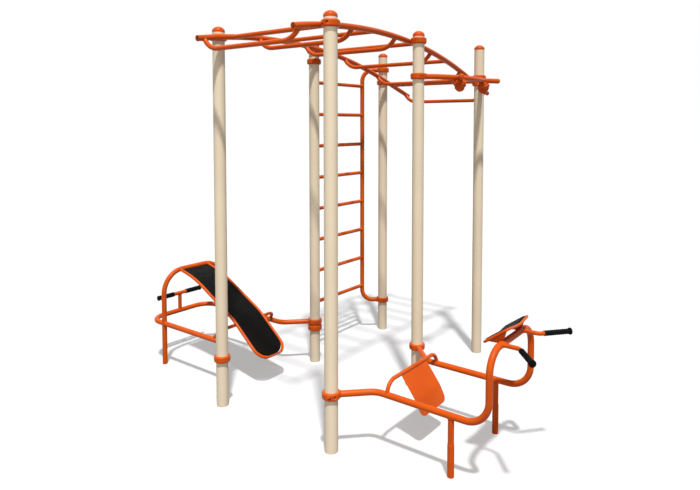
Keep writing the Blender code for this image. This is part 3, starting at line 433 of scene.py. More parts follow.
def joined(shape, part):
    """Adds a part that was shaped on its own to a shape."""
    passed = bpy.data.meshes.new("passed")
    part.to_mesh(passed)
    part.free()
    shape.from_mesh(passed)
    bpy.data.meshes.remove(passed)


def bevelled(shape, geom, offset, segments, affect):
    bmesh.ops.bevel(
        shape,
        geom=geom,
        offset=offset,
        segments=segments,
        profile=0.5,
        affect=affect,
        material=-1,
        clamp_overlap=True,
    )


def soften(shape, offset, segments, angle):
    """Rounds the edges of a shape that are sharper than an angle."""
    edges = []
    for edge in shape.edges:
        if len(edge.link_faces) == 2 and edge.calc_face_angle(0) > angle:
            edges.append(edge)
    bevelled(shape, edges, offset, segments, "EDGES")


def clamp_half():
    """Half a ring round the post, facing +X, with a pocket scooped in at either end."""
    shape = bmesh.new()
    inner = POST_RADIUS + CLAMP_CLEARANCE
    half = CLAMP_HALF_HEIGHT
    tilt = math.asin(CLAMP_SEAM / 2 / CLAMP_RADIUS)
    corners = [
        (inner, -half),
        (CLAMP_RADIUS, -half),
        (CLAMP_RADIUS, -POCKET_HALF_HEIGHT),
        (CLAMP_RADIUS, POCKET_HALF_HEIGHT),
        (CLAMP_RADIUS, half),
        (inner, half),
    ]
    section = [shape.verts.new((radius, 0, height)) for radius, height in corners]
    shape.faces.new(section)
    bevelled(shape, [section[1], section[4]], CLAMP_CROWN, CROWN_SEGMENTS, "VERTICES")
    start = Matrix.Rotation(tilt - math.pi / 2, 4, "Z")
    bmesh.ops.transform(shape, matrix=start, verts=shape.verts)
    whole = list(shape.verts) + list(shape.edges) + list(shape.faces)
    spun(shape, whole, math.pi - 2 * tilt, CLAMP_STEPS)
    bmesh.ops.recalc_face_normals(shape, faces=shape.faces)
    for side in (-1, 1):
        scooped = []
        for face in shape.faces:
            middle = face.calc_center_median()
            angle = side * math.atan2(middle.y, middle.x)
            outer = math.hypot(middle.x, middle.y) > CLAMP_RADIUS - CLAMP_EDGE
            level = abs(middle.z) < POCKET_HALF_HEIGHT and abs(face.normal.z) < 0.5
            if outer and level and POCKET_FIRST_ANGLE < angle < POCKET_LAST_ANGLE:
                scooped.append(face)
        bmesh.ops.inset_region(shape, faces=scooped, thickness=POCKET_SLOPE, depth=0)
        grown = bmesh.ops.extrude_face_region(shape, geom=scooped)["geom"]
        for vert in verts_of(grown):
            vert.co.y = side * POCKET_FLOOR
        # The pocket floors take the second material, which is painted shade.
        for part in grown:
            if isinstance(part, bmesh.types.BMFace):
                part.material_index = 1
    soften(shape, CLAMP_EDGE, 2, CLAMP_SHARP)
    return shape


def upended(direction, at):
    """A matrix that turns the upright axis to a direction and moves it to a point."""
    return Matrix.Translation(at) @ direction.to_track_quat("Z", "Y").to_matrix().to_4x4()


def disc(shape, radius, height, low, sides, place, edge=0):
    """Adds a short solid of some sides, its low end at a distance up its axis."""
    made = bmesh.new()
    bmesh.ops.create_cone(
        made,
        cap_ends=True,
        segments=sides,
        radius1=radius,
        radius2=radius,
        depth=height,
        matrix=place @ Matrix.Translation((0, 0, low + height / 2)),
    )
    if edge:
        soften(made, edge, 2, BOLT_SHARP)
    joined(shape, made)


def clamp_bolts():
    """Both bolts of a clamp, each with a washer and a hexagon at either end."""
    shape = bmesh.new()
    for side in (-1, 1):
        axis = upended(ALONG, side * BOLT_CIRCLE * ACROSS)
        top = BOLT_SEAT + WASHER_HEIGHT
        tail = -top - NUT_HEIGHT - SHANK_TAIL
        shank = 2 * BOLT_SEAT + SHANK_TAIL + NUT_HEIGHT
        disc(shape, WASHER_RADIUS, WASHER_HEIGHT, BOLT_SEAT, WASHER_SIDES, axis)
        disc(shape, HEAD_RADIUS, HEAD_HEIGHT, top, HEAD_SIDES, axis, BOLT_EDGE)
        disc(shape, WASHER_RADIUS, WASHER_HEIGHT, -top, WASHER_SIDES, axis)
        disc(shape, HEAD_RADIUS, NUT_HEIGHT, -top - NUT_HEIGHT, HEAD_SIDES, axis, BOLT_EDGE)
        disc(shape, SHANK_RADIUS, shank, tail, SHANK_SIDES, axis, BOLT_EDGE)
    # The bolts take the second material, the painted shade of the pockets.
    for face in shape.faces:
        face.material_index = 1
    return shape


clamp_casting = clamp_half()
other_half = clamp_casting.copy()
half_turn = Matrix.Rotation(math.pi, 4, "Z")
bmesh.ops.transform(other_half, matrix=half_turn, verts=other_half.verts)
joined(clamp_casting, other_half)
joined(clamp_casting, clamp_bolts())
# The second material of every clamp is painted shade for its pockets and bolts.
pocket_shade_tones = (POCKET_SHADE_ORANGE, POCKET_SHADE_DEEP, POCKET_SHADE_ORANGE)
pocket_shade_paint = finish(
    "orange_powder_coat_painted_shade", powder_coat, pocket_shade_tones, POCKET_GLOSS, POCKET_PEEL
)
# Each clamp has its post, its height and the eighth of a turn that its tube leaves it by.
CLAMPS = {}
for row, eighths in (("front", 2), ("back", -2)):
    heights = {"left": rail_height(0), "middle": rail_height(POST_PITCH), "right": FAR_CLAMP_HEIGHT}
    for place, height in heights.items():
        CLAMPS["rail_clamp_" + row + "_" + place] = (row + "_" + place, height, eighths)
for kind, left, right, height, eighths in (
    ("ladder_clamp_upper", "back_middle", "back_right", LADDER_TOP, 1),
    ("ladder_clamp_lower", "back_middle", "back_right", LADDER_BOTTOM, 1),
    ("pull_up_clamp", "front_middle", "front_right", PULL_UP_HEIGHT, -1),
    ("front_bench_clamp", "front_left", "front_middle", FRONT_BENCH_HEIGHT, -1),
    ("rear_bench_clamp", "back_left", "back_middle", REAR_BENCH_HEIGHT, 1),
):
    CLAMPS[kind + "_left"] = (left, height, eighths)
    CLAMPS[kind + "_right"] = (right, height, 3 * eighths)
for name, (post, height, eighths) in CLAMPS.items():
    clamp_shape = clamp_casting.copy()
    turn = Matrix.Rotation(math.pi / 4 * eighths, 4, "Z")
    site = Matrix.Translation(POSTS[post] + height * UP) @ turn
    bmesh.ops.transform(clamp_shape, matrix=site, verts=clamp_shape.verts)
    coated("cast_" + name, clamp_shape, name).data.materials.append(pocket_shade_paint)
clamp_casting.free()

# Two rails of steel tube, rolled to one long arch, run the length of the overhead ladder along
# the inner faces of the posts. Their far ends run straight on, and all ends are left open.
MAIN_TUBE = 0.0422
RAIL_WALL = 0.0036
RAIL_OUTSET = 0.0796
RAIL_START_ANGLE = -0.17234
RAIL_BEND_ANGLE = 0.30001
RAIL_END_ANGLE = 0.41226
RAIL_STEPS = 72
TUBE_SIDES = 28
RAIL_LINES = {"front": RAIL_OUTSET, "back": POST_PITCH - RAIL_OUTSET}


def round_section(shape, radius, place, sides=TUBE_SIDES):
    """The edges of a circle round the upright axis of a place."""
    made = bmesh.ops.create_circle(shape, segments=sides, radius=radius, matrix=place)["verts"]
    return list(dict.fromkeys(edge for vert in made for edge in vert.link_edges))


def edges_among(verts):
    known = set(verts)
    found = dict.fromkeys(edge for vert in verts for edge in vert.link_edges)
    return [edge for edge in found if all(vert in known for vert in edge.verts)]


def rolled(shape, rim, centre, axis, angle, steps):
    """Carries an open section round an arc and returns its last edges."""
    return edges_among(verts_of(spun(shape, rim, angle, steps, centre, axis)["geom_last"]))


def stretched(shape, rim, step):
    """Draws an open section straight on by a step and returns its last edges."""
    grown = verts_of(bmesh.ops.extrude_edge_only(shape, edges=rim)["geom"])
    bmesh.ops.translate(shape, vec=step, verts=grown)
    return edges_among(grown)


def rail_heading(angle):
    """Which way the rails run at an angle of their arch."""
    turn = min(angle, RAIL_BEND_ANGLE)
    return Vector((math.cos(turn), 0, -math.sin(turn)))


for rail_side, rail_y in RAIL_LINES.items():
    rail_shape = bmesh.new()
    arch_centre = Vector((RAIL_CROWN_REACH, rail_y, RAIL_CROWN_HEIGHT - RAIL_ARCH_RADIUS))
    section_place = (
        Matrix.Translation(arch_centre)
        @ Matrix.Rotation(RAIL_START_ANGLE, 4, "Y")
        @ Matrix.Translation((0, 0, RAIL_ARCH_RADIUS))
        @ Matrix.Rotation(math.pi / 2, 4, "Y")
    )
    sweep = RAIL_BEND_ANGLE - RAIL_START_ANGLE
    tail = rail_heading(RAIL_BEND_ANGLE) * (RAIL_END_ANGLE - RAIL_BEND_ANGLE) * RAIL_ARCH_RADIUS
    ends = []
    for radius in (MAIN_TUBE / 2, MAIN_TUBE / 2 - RAIL_WALL):
        first_rim = round_section(rail_shape, radius, section_place)
        bent_rim = rolled(rail_shape, first_rim, arch_centre, ACROSS, sweep, RAIL_STEPS)
        ends.append((first_rim, stretched(rail_shape, bent_rim, tail)))
    for outer_rim, inner_rim in zip(*ends):
        bmesh.ops.bridge_loops(rail_shape, edges=outer_rim + inner_rim)
    coated("arched_rail_" + rail_side, rail_shape, "rail_" + rail_side)

# Eleven rungs join the rails. Six of them dip between two bends to a lower grip, and a straight
# one sits midway between each two. All are round tube with a weld bead at either rail.
RUNG_TUBE = 0.0334
FIRST_RUNG_ANGLE = -0.16
RUNG_STEP_ANGLE = 0.111985
DIPPED_RUNGS = 6
DIP_DROP = 0.083
DIP_RUN = 0.054
DIP_BEND_RADIUS = 0.155
BEND_STEP = math.radians(7)
JOINT_ROOT = 0.0015
BEAD_RADIUS = 0.0030
BEAD_STEPS = 36
BEAD_SIDES = 8
BEAD_RIPPLES = 26
BEAD_RIPPLE = 0.14


def bent_tube(shape, corners, radii, diameter, sides=TUBE_SIDES, pieces=1, closed=False):
    """Sweeps a round section along straight runs and round the bend at each inner corner.

    Each straight run is drawn in a number of pieces. A closed tube ends where it started.
    """
    at = corners[0]
    rim = round_section(shape, diameter / 2, upended(corners[1] - at, at), sides)
    first = rim

    def run_to(rim, start, end):
        for _ in range(pieces):
            rim = stretched(shape, rim, (end - start) / pieces)
        return rim

    for before, corner, after, radius in zip(corners, corners[1:], corners[2:], radii):
        back = (before - corner).normalized()
        onward = (after - corner).normalized()
        turn = math.pi - back.angle(onward)
        reach = radius * math.tan(turn / 2)
        rim = run_to(rim, at, corner + back * reach)
        centre = corner + (back + onward).normalized() * radius / math.cos(turn / 2)
        axis = (corner + back * reach - centre).cross(corner + onward * reach - centre)
        steps = max(3, math.ceil(turn / BEND_STEP))
        rim = rolled(shape, rim, centre, axis.normalized(), turn, steps)
        at = corner + onward * reach
    rim = run_to(rim, at, corners[-1])
    if not closed:
        for edges in (first, rim):
            bmesh.ops.edgeloop_fill(shape, edges=edges)


def weld_bead(shape, at, way, along, branch, main):
    """A fillet of weld where a branch tube leaves a main tube, which runs along a direction."""
    forward = way.normalized()
    side = forward.cross(along).normalized()
    level = side.cross(forward)
    turn = Matrix((level, side, forward)).transposed().to_4x4()
    bead = bmesh.new()
    section = Matrix.Translation((branch / 2, 0, 0)) @ Matrix.Rotation(math.pi / 2, 4, "X")
    rim = round_section(bead, BEAD_RADIUS, section, BEAD_SIDES)
    spun(bead, list(bead.verts) + rim, 2 * math.pi, BEAD_STEPS, merged=True)
    for vert in bead.verts:
        angle = math.atan2(vert.co.y, vert.co.x)
        ripple = 1 + BEAD_RIPPLE * math.cos(angle * BEAD_RIPPLES)
        out = math.hypot(vert.co.x, vert.co.y)
        swell = branch / 2 + (out - branch / 2) * ripple
        saddle = math.sqrt(max((main / 2) ** 2 - (branch / 2 * math.sin(angle)) ** 2, 0))
        vert.co.x *= swell / out
        vert.co.y *= swell / out
        vert.co.z = vert.co.z * ripple + saddle
    bmesh.ops.transform(bead, matrix=Matrix.Translation(at) @ turn, verts=bead.verts)
    joined(shape, bead)


def add_rung(shape, corners, radii, along):
    """A tube between two main tubes, with a bead round each of its ends."""
    ends = [(corners[0], corners[1]), (corners[-1], corners[-2])]
    root = MAIN_TUBE / 2 - JOINT_ROOT
    first, last = (end + (inward - end).normalized() * root for end, inward in ends)
    bent_tube(shape, [first, *corners[1:-1], last], radii, RUNG_TUBE)
    for end, inward in ends:
        weld_bead(shape, end, inward - end, along, RUNG_TUBE, MAIN_TUBE)


def rail_point(angle, y):
    """A point of the rail's line, which is straight past its bend."""
    turn = min(angle, RAIL_BEND_ANGLE)
    x = RAIL_CROWN_REACH + RAIL_ARCH_RADIUS * math.sin(turn)
    z = RAIL_CROWN_HEIGHT - RAIL_ARCH_RADIUS * (1 - math.cos(turn))
    return Vector((x, y, z)) + rail_heading(turn) * (angle - turn) * RAIL_ARCH_RADIUS


def overhead_rung(make, name, steps, bends=()):
    """One rung of the overhead ladder, some steps from the first, which dips if it has bends."""
    angle = FIRST_RUNG_ANGLE + RUNG_STEP_ANGLE * steps
    front, back = (rail_point(angle, y) for y in RAIL_LINES.values())
    corners = [front, back]
    if bends:
        drop = DIP_RUN * ACROSS - DIP_DROP * UP
        rise = DIP_RUN * ACROSS + DIP_DROP * UP
        corners = [front, front + drop, back - rise, back]
    rung_shape = bmesh.new()
    add_rung(rung_shape, corners, bends, rail_heading(angle))
    coated(make + name, rung_shape, name)


for number in range(DIPPED_RUNGS):
    name = "dipped_rung_" + str(number + 1)
    overhead_rung("bent_", name, number, [DIP_BEND_RADIUS] * 2)
for number in range(DIPPED_RUNGS - 1):
    overhead_rung("welded_", "straight_rung_" + str(number + 1), number + 1 / 2)

# The wall ladder stands off the back of the second bay. Two stiles bend back to their clamps
# at the top and the bottom, and eight straight rungs are welded between them.
LADDER_OUTSET = 0.148
LADDER_BEND_RADIUS = 0.110
LADDER_RUNGS = 8
LADDER_FIRST_RUNG = 0.152
LADDER_RUNG_SPACING = 0.2875


def heading(eighths):
    """The level direction at some eighths of a turn from the row of posts."""
    return Vector((math.cos(math.pi / 4 * eighths), math.sin(math.pi / 4 * eighths), 0))


def clamp_bead(shape, clamp):
    """The weld between a tube and the clamp that it leaves."""
    post, height, eighths = CLAMPS[clamp]
    centre = POSTS[post] + height * UP
    weld_bead(shape, centre, heading(eighths), UP, MAIN_TUBE, 2 * CLAMP_RADIUS)


def clamp_root(clamp):
    """Where a tube starts, just inside the face of its clamp."""
    post, height, eighths = CLAMPS[clamp]
    return POSTS[post] + height * UP + heading(eighths) * (CLAMP_RADIUS - 2 * JOINT_ROOT)


ladder_shape = bmesh.new()
stile_places = []
for word, along in (("left", 1), ("right", -1)):
    clamps = ["ladder_clamp_upper_" + word, "ladder_clamp_lower_" + word]
    out = POSTS[CLAMPS[clamps[0]][0]] + Vector((along * LADDER_OUTSET, LADDER_OUTSET, 0))
    stile_places.append(out)
    top, bottom = (clamp_root(clamp) for clamp in clamps)
    corners = [top, out + LADDER_TOP * UP, out + LADDER_BOTTOM * UP, bottom]
    bent_tube(ladder_shape, corners, [LADDER_BEND_RADIUS] * 2, MAIN_TUBE)
    for clamp in clamps:
        clamp_bead(ladder_shape, clamp)
for number in range(LADDER_RUNGS):
    height = LADDER_BOTTOM + LADDER_FIRST_RUNG + LADDER_RUNG_SPACING * number
    add_rung(ladder_shape, [place + height * UP for place in stile_places], [], UP)
coated("welded_wall_ladder", ladder_shape, "wall_ladder")

# The pull-up bar is one tube bowed out from the second bay. Two short side grips leave it, and
# a cast hold like a lump of rock hangs under it at each of them.
BOW_CENTRE = Vector((1.575, 0.525, PULL_UP_HEIGHT))
BOW_RADIUS = 0.74246
BOW_STEPS = 60
HOLD_SPACING = 0.420
HOLD_SIZE = Vector((0.104, 0.090, 0.098))
HOLD_LEVELS = 5
HOLD_FULLNESS = 0.96
HOLD_POWER = 2.8
HOLD_TAPER = 0.36
HOLD_LUMP = 0.30
HOLD_LUMP_SCALE = 2.3
HOLD_CHIP = 0.30
HOLD_CHIP_SCALE = 3.4
HOLD_LIMIT = 1.12
HOLD_SHIFT = 3.7
SIDE_GRIP_LENGTH = 0.160
SIDE_GRIP_ANGLE = math.radians(32)
GRIP_END = 0.013
GRIP_END_SEGMENTS = 6
SQUARE_EDGE = math.radians(60)


def hand_hold(top, seed):
    """A cast lump with broad hollows for the fingers, hung from a point."""
    lump = bmesh.new()
    bmesh.ops.create_icosphere(lump, subdivisions=HOLD_LEVELS, radius=0.5)
    shift = Vector((seed, 2 * seed, 0.5)) * HOLD_SHIFT
    for vert in lump.verts:
        way = vert.co.normalized()
        swell = HOLD_FULLNESS + HOLD_LUMP * noise.noise(way * HOLD_LUMP_SCALE + shift)
        chip = abs(noise.noise(way * HOLD_CHIP_SCALE + shift))
        blocky = sum(abs(part) ** HOLD_POWER for part in way) ** (-1 / HOLD_POWER)
        vert.co *= min((swell - HOLD_CHIP * chip) * blocky, HOLD_LIMIT)
        vert.co = Vector(place * size for place, size in zip(vert.co, HOLD_SIZE))
        broad = 1 + HOLD_TAPER * way.z
        vert.co.x *= broad
        vert.co.y *= broad
        vert.co += top - HOLD_SIZE.z / 2 * UP
    return lump


def side_grip(start, way):
    """A short tube whose closed end is rounded over."""
    grip = bmesh.new()
    bent_tube(grip, [start, start + way * SIDE_GRIP_LENGTH], [], MAIN_TUBE)
    bmesh.ops.recalc_face_normals(grip, faces=grip.faces)
    soften(grip, GRIP_END, GRIP_END_SEGMENTS, SQUARE_EDGE)
    return grip


bar_shape = bmesh.new()
clamp_angle = math.pi / 4 - (CLAMP_RADIUS - 2 * JOINT_ROOT) / BOW_RADIUS
first_turn = Matrix.Rotation(-clamp_angle, 4, "Z")
bar_start = upended(first_turn @ ALONG, BOW_CENTRE - first_turn @ (BOW_RADIUS * ACROSS))
bar_rim = round_section(bar_shape, MAIN_TUBE / 2, bar_start)
bar_end = rolled(bar_shape, bar_rim, BOW_CENTRE, UP, 2 * clamp_angle, BOW_STEPS)
for rim in (bar_rim, bar_end):
    bmesh.ops.edgeloop_fill(bar_shape, edges=rim)
clamp_bead(bar_shape, "pull_up_clamp_left")
clamp_bead(bar_shape, "pull_up_clamp_right")
for side in (-1, 1):
    hold_turn = Matrix.Rotation(side * math.asin(HOLD_SPACING / 2 / BOW_RADIUS), 4, "Z")
    place = BOW_CENTRE - hold_turn @ (BOW_RADIUS * ACROSS)
    grip_way = side * math.cos(SIDE_GRIP_ANGLE) * ALONG - math.sin(SIDE_GRIP_ANGLE) * ACROSS
    joined(bar_shape, side_grip(place, grip_way))
    joined(bar_shape, hand_hold(place - MAIN_TUBE / 4 * UP, side))
coated("bowed_pull_up_bar", bar_shape, "pull_up_bar")

# The back-extension bench is one long tube: out from its two clamps, along the ground side and
# up into a square loop. Two splayed handles are welded to the loop's cross tube.
BENCH_LEFT = 0.208
BENCH_RIGHT = 0.842
BAY_CENTRE = 0.525
BENCH_ELBOW_RADIUS = 0.120
LOOP_OUT = 0.986
LOOP_TOP = 0.806
LOOP_LOWER_RADIUS = 0.150
LOOP_UPPER_RADIUS = 0.135
HANDLE_TUBE = 0.0269
HANDLE_SPREAD = 0.310
HANDLE_STUB = 0.110
HANDLE_SPLAY = math.radians(50)
HANDLE_ARM = 0.215
HANDLE_BEND_RADIUS = 0.045


def both_sides(corners):
    """The corners of a tube up to the middle of the bay, and their mirror images beyond it."""
    return corners + [Vector((2 * BAY_CENTRE - x, y, z)) for x, y, z in reversed(corners)]


bench_shape = bmesh.new()
bench_corners = [
    clamp_root("front_bench_clamp_left"),
    Vector((BENCH_LEFT, -BENCH_LEFT, FRONT_BENCH_HEIGHT)),
    Vector((BENCH_LEFT, -LOOP_OUT, FRONT_BENCH_HEIGHT)),
    Vector((BENCH_LEFT, -LOOP_OUT, LOOP_TOP)),
]
loop_bends = [BENCH_ELBOW_RADIUS, LOOP_LOWER_RADIUS, LOOP_UPPER_RADIUS]
bent_tube(bench_shape, both_sides(bench_corners), loop_bends + loop_bends[::-1], MAIN_TUBE)
clamp_bead(bench_shape, "front_bench_clamp_left")
clamp_bead(bench_shape, "front_bench_clamp_right")
loop_middle = Vector((BAY_CENTRE, -LOOP_OUT, LOOP_TOP))
handles = {}
for word, side in (("left", -1), ("right", 1)):
    start = loop_middle + side * HANDLE_SPREAD / 2 * ALONG
    elbow = start - HANDLE_STUB * ACROSS
    away = Vector((side * math.sin(HANDLE_SPLAY), -math.cos(HANDLE_SPLAY), 0))
    handles[word] = (elbow + away * HANDLE_ARM, away)
    root = start - (MAIN_TUBE / 2 - JOINT_ROOT) * ACROSS
    handle = [root, elbow, elbow + away * HANDLE_ARM]
    bent_tube(bench_shape, handle, [HANDLE_BEND_RADIUS], HANDLE_TUBE)
    weld_bead(bench_shape, start, -ACROSS, ALONG, HANDLE_TUBE, MAIN_TUBE)
coated("bent_front_bench", bench_shape, "front_bench_tube")

# Rubber grips are pushed over the ends of the handles. They are moulded with rings along their
# length, a collar at the outer end and a rounded closed tip.
HANDLE_GRIP = 0.035
HANDLE_GRIP_FLANGE = 0.043
HANDLE_GRIP_LENGTH = 0.180
GRIP_FLANGE_LENGTH = 0.012
GRIP_TIP = 0.0043
GRIP_LIP = 0.002
GRIP_LIP_STEPS = 4
GRIP_STEPS = 40
GRIP_SHARP = math.radians(50)
RIB_PITCH = 0.0140
RIB_DEPTH = 0.0024
RIB_POINTS = 6
SHEEN_SCALE = 24
FINE_GRAIN_SCALE = 1300
FINE_GRAIN_SHARE = 0.4
RUBBER_DUST_SCALE = 85
RUBBER_DUST = 0.55
# The gloss of rubber and board is led by the scale of their pebbled grain.
GRIP_TONES = ((0.0045, 0.0045, 0.004, 1), (0.003, 0.003, 0.003, 1), (0.014, 0.013, 0.012, 1))
GRIP_GLOSS = (1100, 0.50, 0.72)
GRIP_GRAIN = (0.0003, 0.35)
RUBBER_SPECULAR = 0.04


def rubber_group():
    """Moulded black rubber: a fine matte grain, soft patches of sheen and a little grey dust."""
    group, given = surface_group("rubber_surface", ("Grain Scale", "Smoothest", "Roughest"))
    place = new_node(group, "ShaderNodeTexCoord", {}).outputs["Object"]
    patch = ranged(group, noise_field(group, place, SHEEN_SCALE, 4), 0.3, 0.7)
    pebbles = {"Vector": place, "Scale": given["Grain Scale"]}
    pebble = new_node(group, "ShaderNodeTexVoronoi", pebbles).outputs["Distance"]
    fine = noise_field(group, place, FINE_GRAIN_SCALE, 2)
    toned = mixed(group, patch, given["Colour"], given["Shade Colour"])
    film = noise_field(group, place, RUBBER_DUST_SCALE, 5, 0.7)
    dust = ranged(group, film, 0.52, 0.80, 0, RUBBER_DUST)
    looks = {
        "Colour": mixed(group, dust, toned, given["Dust Colour"]),
        "Roughness": ranged(group, patch, 0, 1, given["Smoothest"], given["Roughest"]),
        "Height": reckoned(group, "MULTIPLY_ADD", fine, FINE_GRAIN_SHARE, pebble),
    }
    new_node(group, "NodeGroupOutput", looks)
    return group


rubber = rubber_group()
grip_rubber = finish("grip_rubber", rubber, GRIP_TONES, GRIP_GLOSS, GRIP_GRAIN, RUBBER_SPECULAR)


def ribbed_grip(name, tip, away, bore, outer, flange, length):
    """A sleeve over a tube's end, with rings from its collar to its inner lip."""
    radius = outer / 2
    rim = flange / 2
    inner = bore / 2 + CLAMP_CLEARANCE
    collar = GRIP_TIP - GRIP_FLANGE_LENGTH
    profile = [(0, GRIP_TIP)]
    for step in range(GRIP_LIP_STEPS + 1):
        angle = math.pi / 2 * (1 - step / GRIP_LIP_STEPS)
        across, rise = GRIP_LIP * math.cos(angle), GRIP_LIP * math.sin(angle)
        profile.append((rim - GRIP_LIP + across, GRIP_TIP - GRIP_LIP + rise))
    profile += [
        (rim, collar + GRIP_LIP / 2),
        (rim - GRIP_LIP / 2, collar),
        (radius, collar - GRIP_LIP / 2),
    ]
    run = length + collar - 2 * GRIP_LIP
    rings = round(run / RIB_PITCH)
    for step in range(rings * RIB_POINTS + 1):
        share = step / (rings * RIB_POINTS)
        wave = (1 - math.cos(2 * math.pi * share * rings)) / 2
        profile.append((radius - RIB_DEPTH * wave, collar - GRIP_LIP / 2 - run * share))
    profile += [
        (radius, -length + GRIP_LIP / 2),
        (radius - GRIP_LIP / 2, -length),
        (inner, -length),
        (inner, CLAMP_CLEARANCE),
        (0, CLAMP_CLEARANCE),
    ]
    shape = turned(profile, GRIP_STEPS, upended(away, tip))
    fitted("ribbed_" + name, shape, grip_rubber, name, GRIP_SHARP)


handle_grip = (HANDLE_TUBE, HANDLE_GRIP, HANDLE_GRIP_FLANGE, HANDLE_GRIP_LENGTH)
for word, (tip, away) in handles.items():
    ribbed_grip("handle_grip_" + word, tip, away, *handle_grip)

# Two short legs carry the outer end of the bench. Each is a tube welded under the bench tube
# and dropped into a slightly wider ground sleeve with a rounded rim.
LEG_RADIUS = 0.0381 / 2
SLEEVE_RADIUS = 0.0424 / 2
FRONT_LEG_OUT = 0.746
SLEEVE_TOP = 0.200
SLEEVE_RIM = 0.0012
LEG_STEPS = 32

leg_top = FRONT_BENCH_HEIGHT - MAIN_TUBE / 2 + 2 * JOINT_ROOT
leg_profile = [
    (0, leg_top),
    (LEG_RADIUS, leg_top),
    (LEG_RADIUS, SLEEVE_TOP),
    (SLEEVE_RADIUS - SLEEVE_RIM, SLEEVE_TOP),
    (SLEEVE_RADIUS, SLEEVE_TOP - SLEEVE_RIM),
    (SLEEVE_RADIUS, SLEEVE_RIM),
    (SLEEVE_RADIUS - SLEEVE_RIM, 0),
    (0, 0),
]
for word, x in (("left", BENCH_LEFT), ("right", BENCH_RIGHT)):
    foot = Vector((x, -FRONT_LEG_OUT, 0))
    leg_shape = turned(leg_profile, LEG_STEPS, Matrix.Translation(foot))
    weld_bead(leg_shape, foot + FRONT_BENCH_HEIGHT * UP, -UP, ACROSS, 2 * LEG_RADIUS, MAIN_TUBE)
    coated("sleeved_leg_" + word, leg_shape, "front_leg_" + word)

# A low arch of thin tube stands across the bench tubes, near the posts. The foot plate hangs
# from its crest: sheet steel with round lower corners, pressed to a steeper toe.
ARCH_TUBE = 0.0269
ARCH_SIDES = 24
CROSS_ARCH_RADIUS = 0.082
ANKLE_ARCH_OUT = 0.290
ANKLE_ARCH_RISE = 0.084
PLATE_WIDTH = 0.316
PLATE_LENGTH = 0.300
PLATE_TOE = 0.110
PLATE_FOLD = 0.040
PLATE_TILT = math.radians(90 - 37.5)
PLATE_TOE_TILT = math.radians(90 - 28)
PLATE_CORNER = 0.045
PLATE_THICKNESS = 0.005
PLATE_EDGE = 0.0012
PLATE_GRID = (24, 36)


def cross_arch(foot, way, rise):
    """A low arch of thin tube that rises along a direction, welded on to two bench tubes."""
    shape = bmesh.new()
    half = (BAY_CENTRE - BENCH_LEFT) * ALONG
    crest = foot + rise * way
    corners = [foot - half, crest - half, crest + half, foot + half]
    bent_tube(shape, corners, [CROSS_ARCH_RADIUS] * 2, ARCH_TUBE, ARCH_SIDES)
    for corner in (corners[0], corners[-1]):
        weld_bead(shape, corner, way, ACROSS, ARCH_TUBE, MAIN_TUBE)
    return shape


def flat_sheet(width, start, end, grid, corner, thickness, both_ends=False):
    """A flat sheet, divided in a grid, with rounded corners at its far end or at both ends."""
    shape = bmesh.new()
    bmesh.ops.create_grid(shape, x_segments=grid[0], y_segments=grid[1], size=0.5)
    bmesh.ops.scale(shape, vec=(width, end - start, 1), verts=shape.verts)
    bmesh.ops.translate(shape, vec=(0, (start + end) / 2, 0), verts=shape.verts)
    for row, inward in [(start, 1), (end, -1)] if both_ends else [(end, -1)]:
        for vert in shape.verts:
            across = width / 2 - abs(vert.co.x)
            down = inward * (vert.co.y - row)
            if across < corner and down < corner:
                arm = Vector((corner - across, corner - down))
                squared = arm / arm.length * max(arm)
                side = 1 if vert.co.x > 0 else -1
                vert.co.x = side * (width / 2 - corner + squared.x)
                vert.co.y = row + inward * (corner - squared.y)
    grown = bmesh.ops.extrude_face_region(shape, geom=list(shape.faces))["geom"]
    bmesh.ops.translate(shape, vec=(0, 0, thickness), verts=verts_of(grown))
    bmesh.ops.translate(shape, vec=(0, 0, -thickness / 2), verts=shape.verts)
    return shape


def edge_rounded(shape, offset, segments):
    """Rounds the square edges of a sheet that was cut."""
    bmesh.ops.recalc_face_normals(shape, faces=shape.faces)
    soften(shape, offset, segments, SQUARE_EDGE)


def run_down(runs, down):
    """The level reach, the drop and the tilt at a distance down straight and curved runs."""
    level = drop = 0
    tilt = runs[0][1]
    for length, first, last in runs:
        part = min(max(down, 0), length)
        down -= length
        if part <= 0:
            break
        if first == last:
            level += part * math.cos(first)
            drop += part * math.sin(first)
            tilt = first
        else:
            radius = length / (last - first)
            tilt = first + part / radius
            level += radius * (math.sin(tilt) - math.sin(first))
            drop += radius * (math.cos(first) - math.cos(tilt))
    return level, drop, tilt


def sloped(shape, top, runs):
    """Carries a flat pattern (across, down, off its face) on to runs that fall towards -Y."""
    for vert in shape.verts:
        level, drop, tilt = run_down(runs, vert.co.y)
        normal = Vector((0, -math.sin(tilt), math.cos(tilt)))
        vert.co = top + Vector((vert.co.x, -level, -drop)) + vert.co.z * normal


arch_foot = Vector((BAY_CENTRE, -ANKLE_ARCH_OUT, FRONT_BENCH_HEIGHT))
arch_shape = cross_arch(arch_foot, UP, ANKLE_ARCH_RISE)
plate_start = ARCH_TUBE / 2 - JOINT_ROOT
plate_shape = flat_sheet(
    PLATE_WIDTH, plate_start, PLATE_LENGTH, PLATE_GRID, PLATE_CORNER, PLATE_THICKNESS
)
edge_rounded(plate_shape, PLATE_EDGE, 2)
plate_runs = [
    (PLATE_LENGTH - PLATE_TOE - PLATE_FOLD / 2, PLATE_TILT, PLATE_TILT),
    (PLATE_FOLD, PLATE_TILT, PLATE_TOE_TILT),
    (PLATE_TOE, PLATE_TOE_TILT, PLATE_TOE_TILT),
]
sloped(plate_shape, arch_foot + ANKLE_ARCH_RISE * UP, plate_runs)
joined(arch_shape, plate_shape)
coated("ankle_arch_and_foot_plate", arch_shape, "ankle_arch")

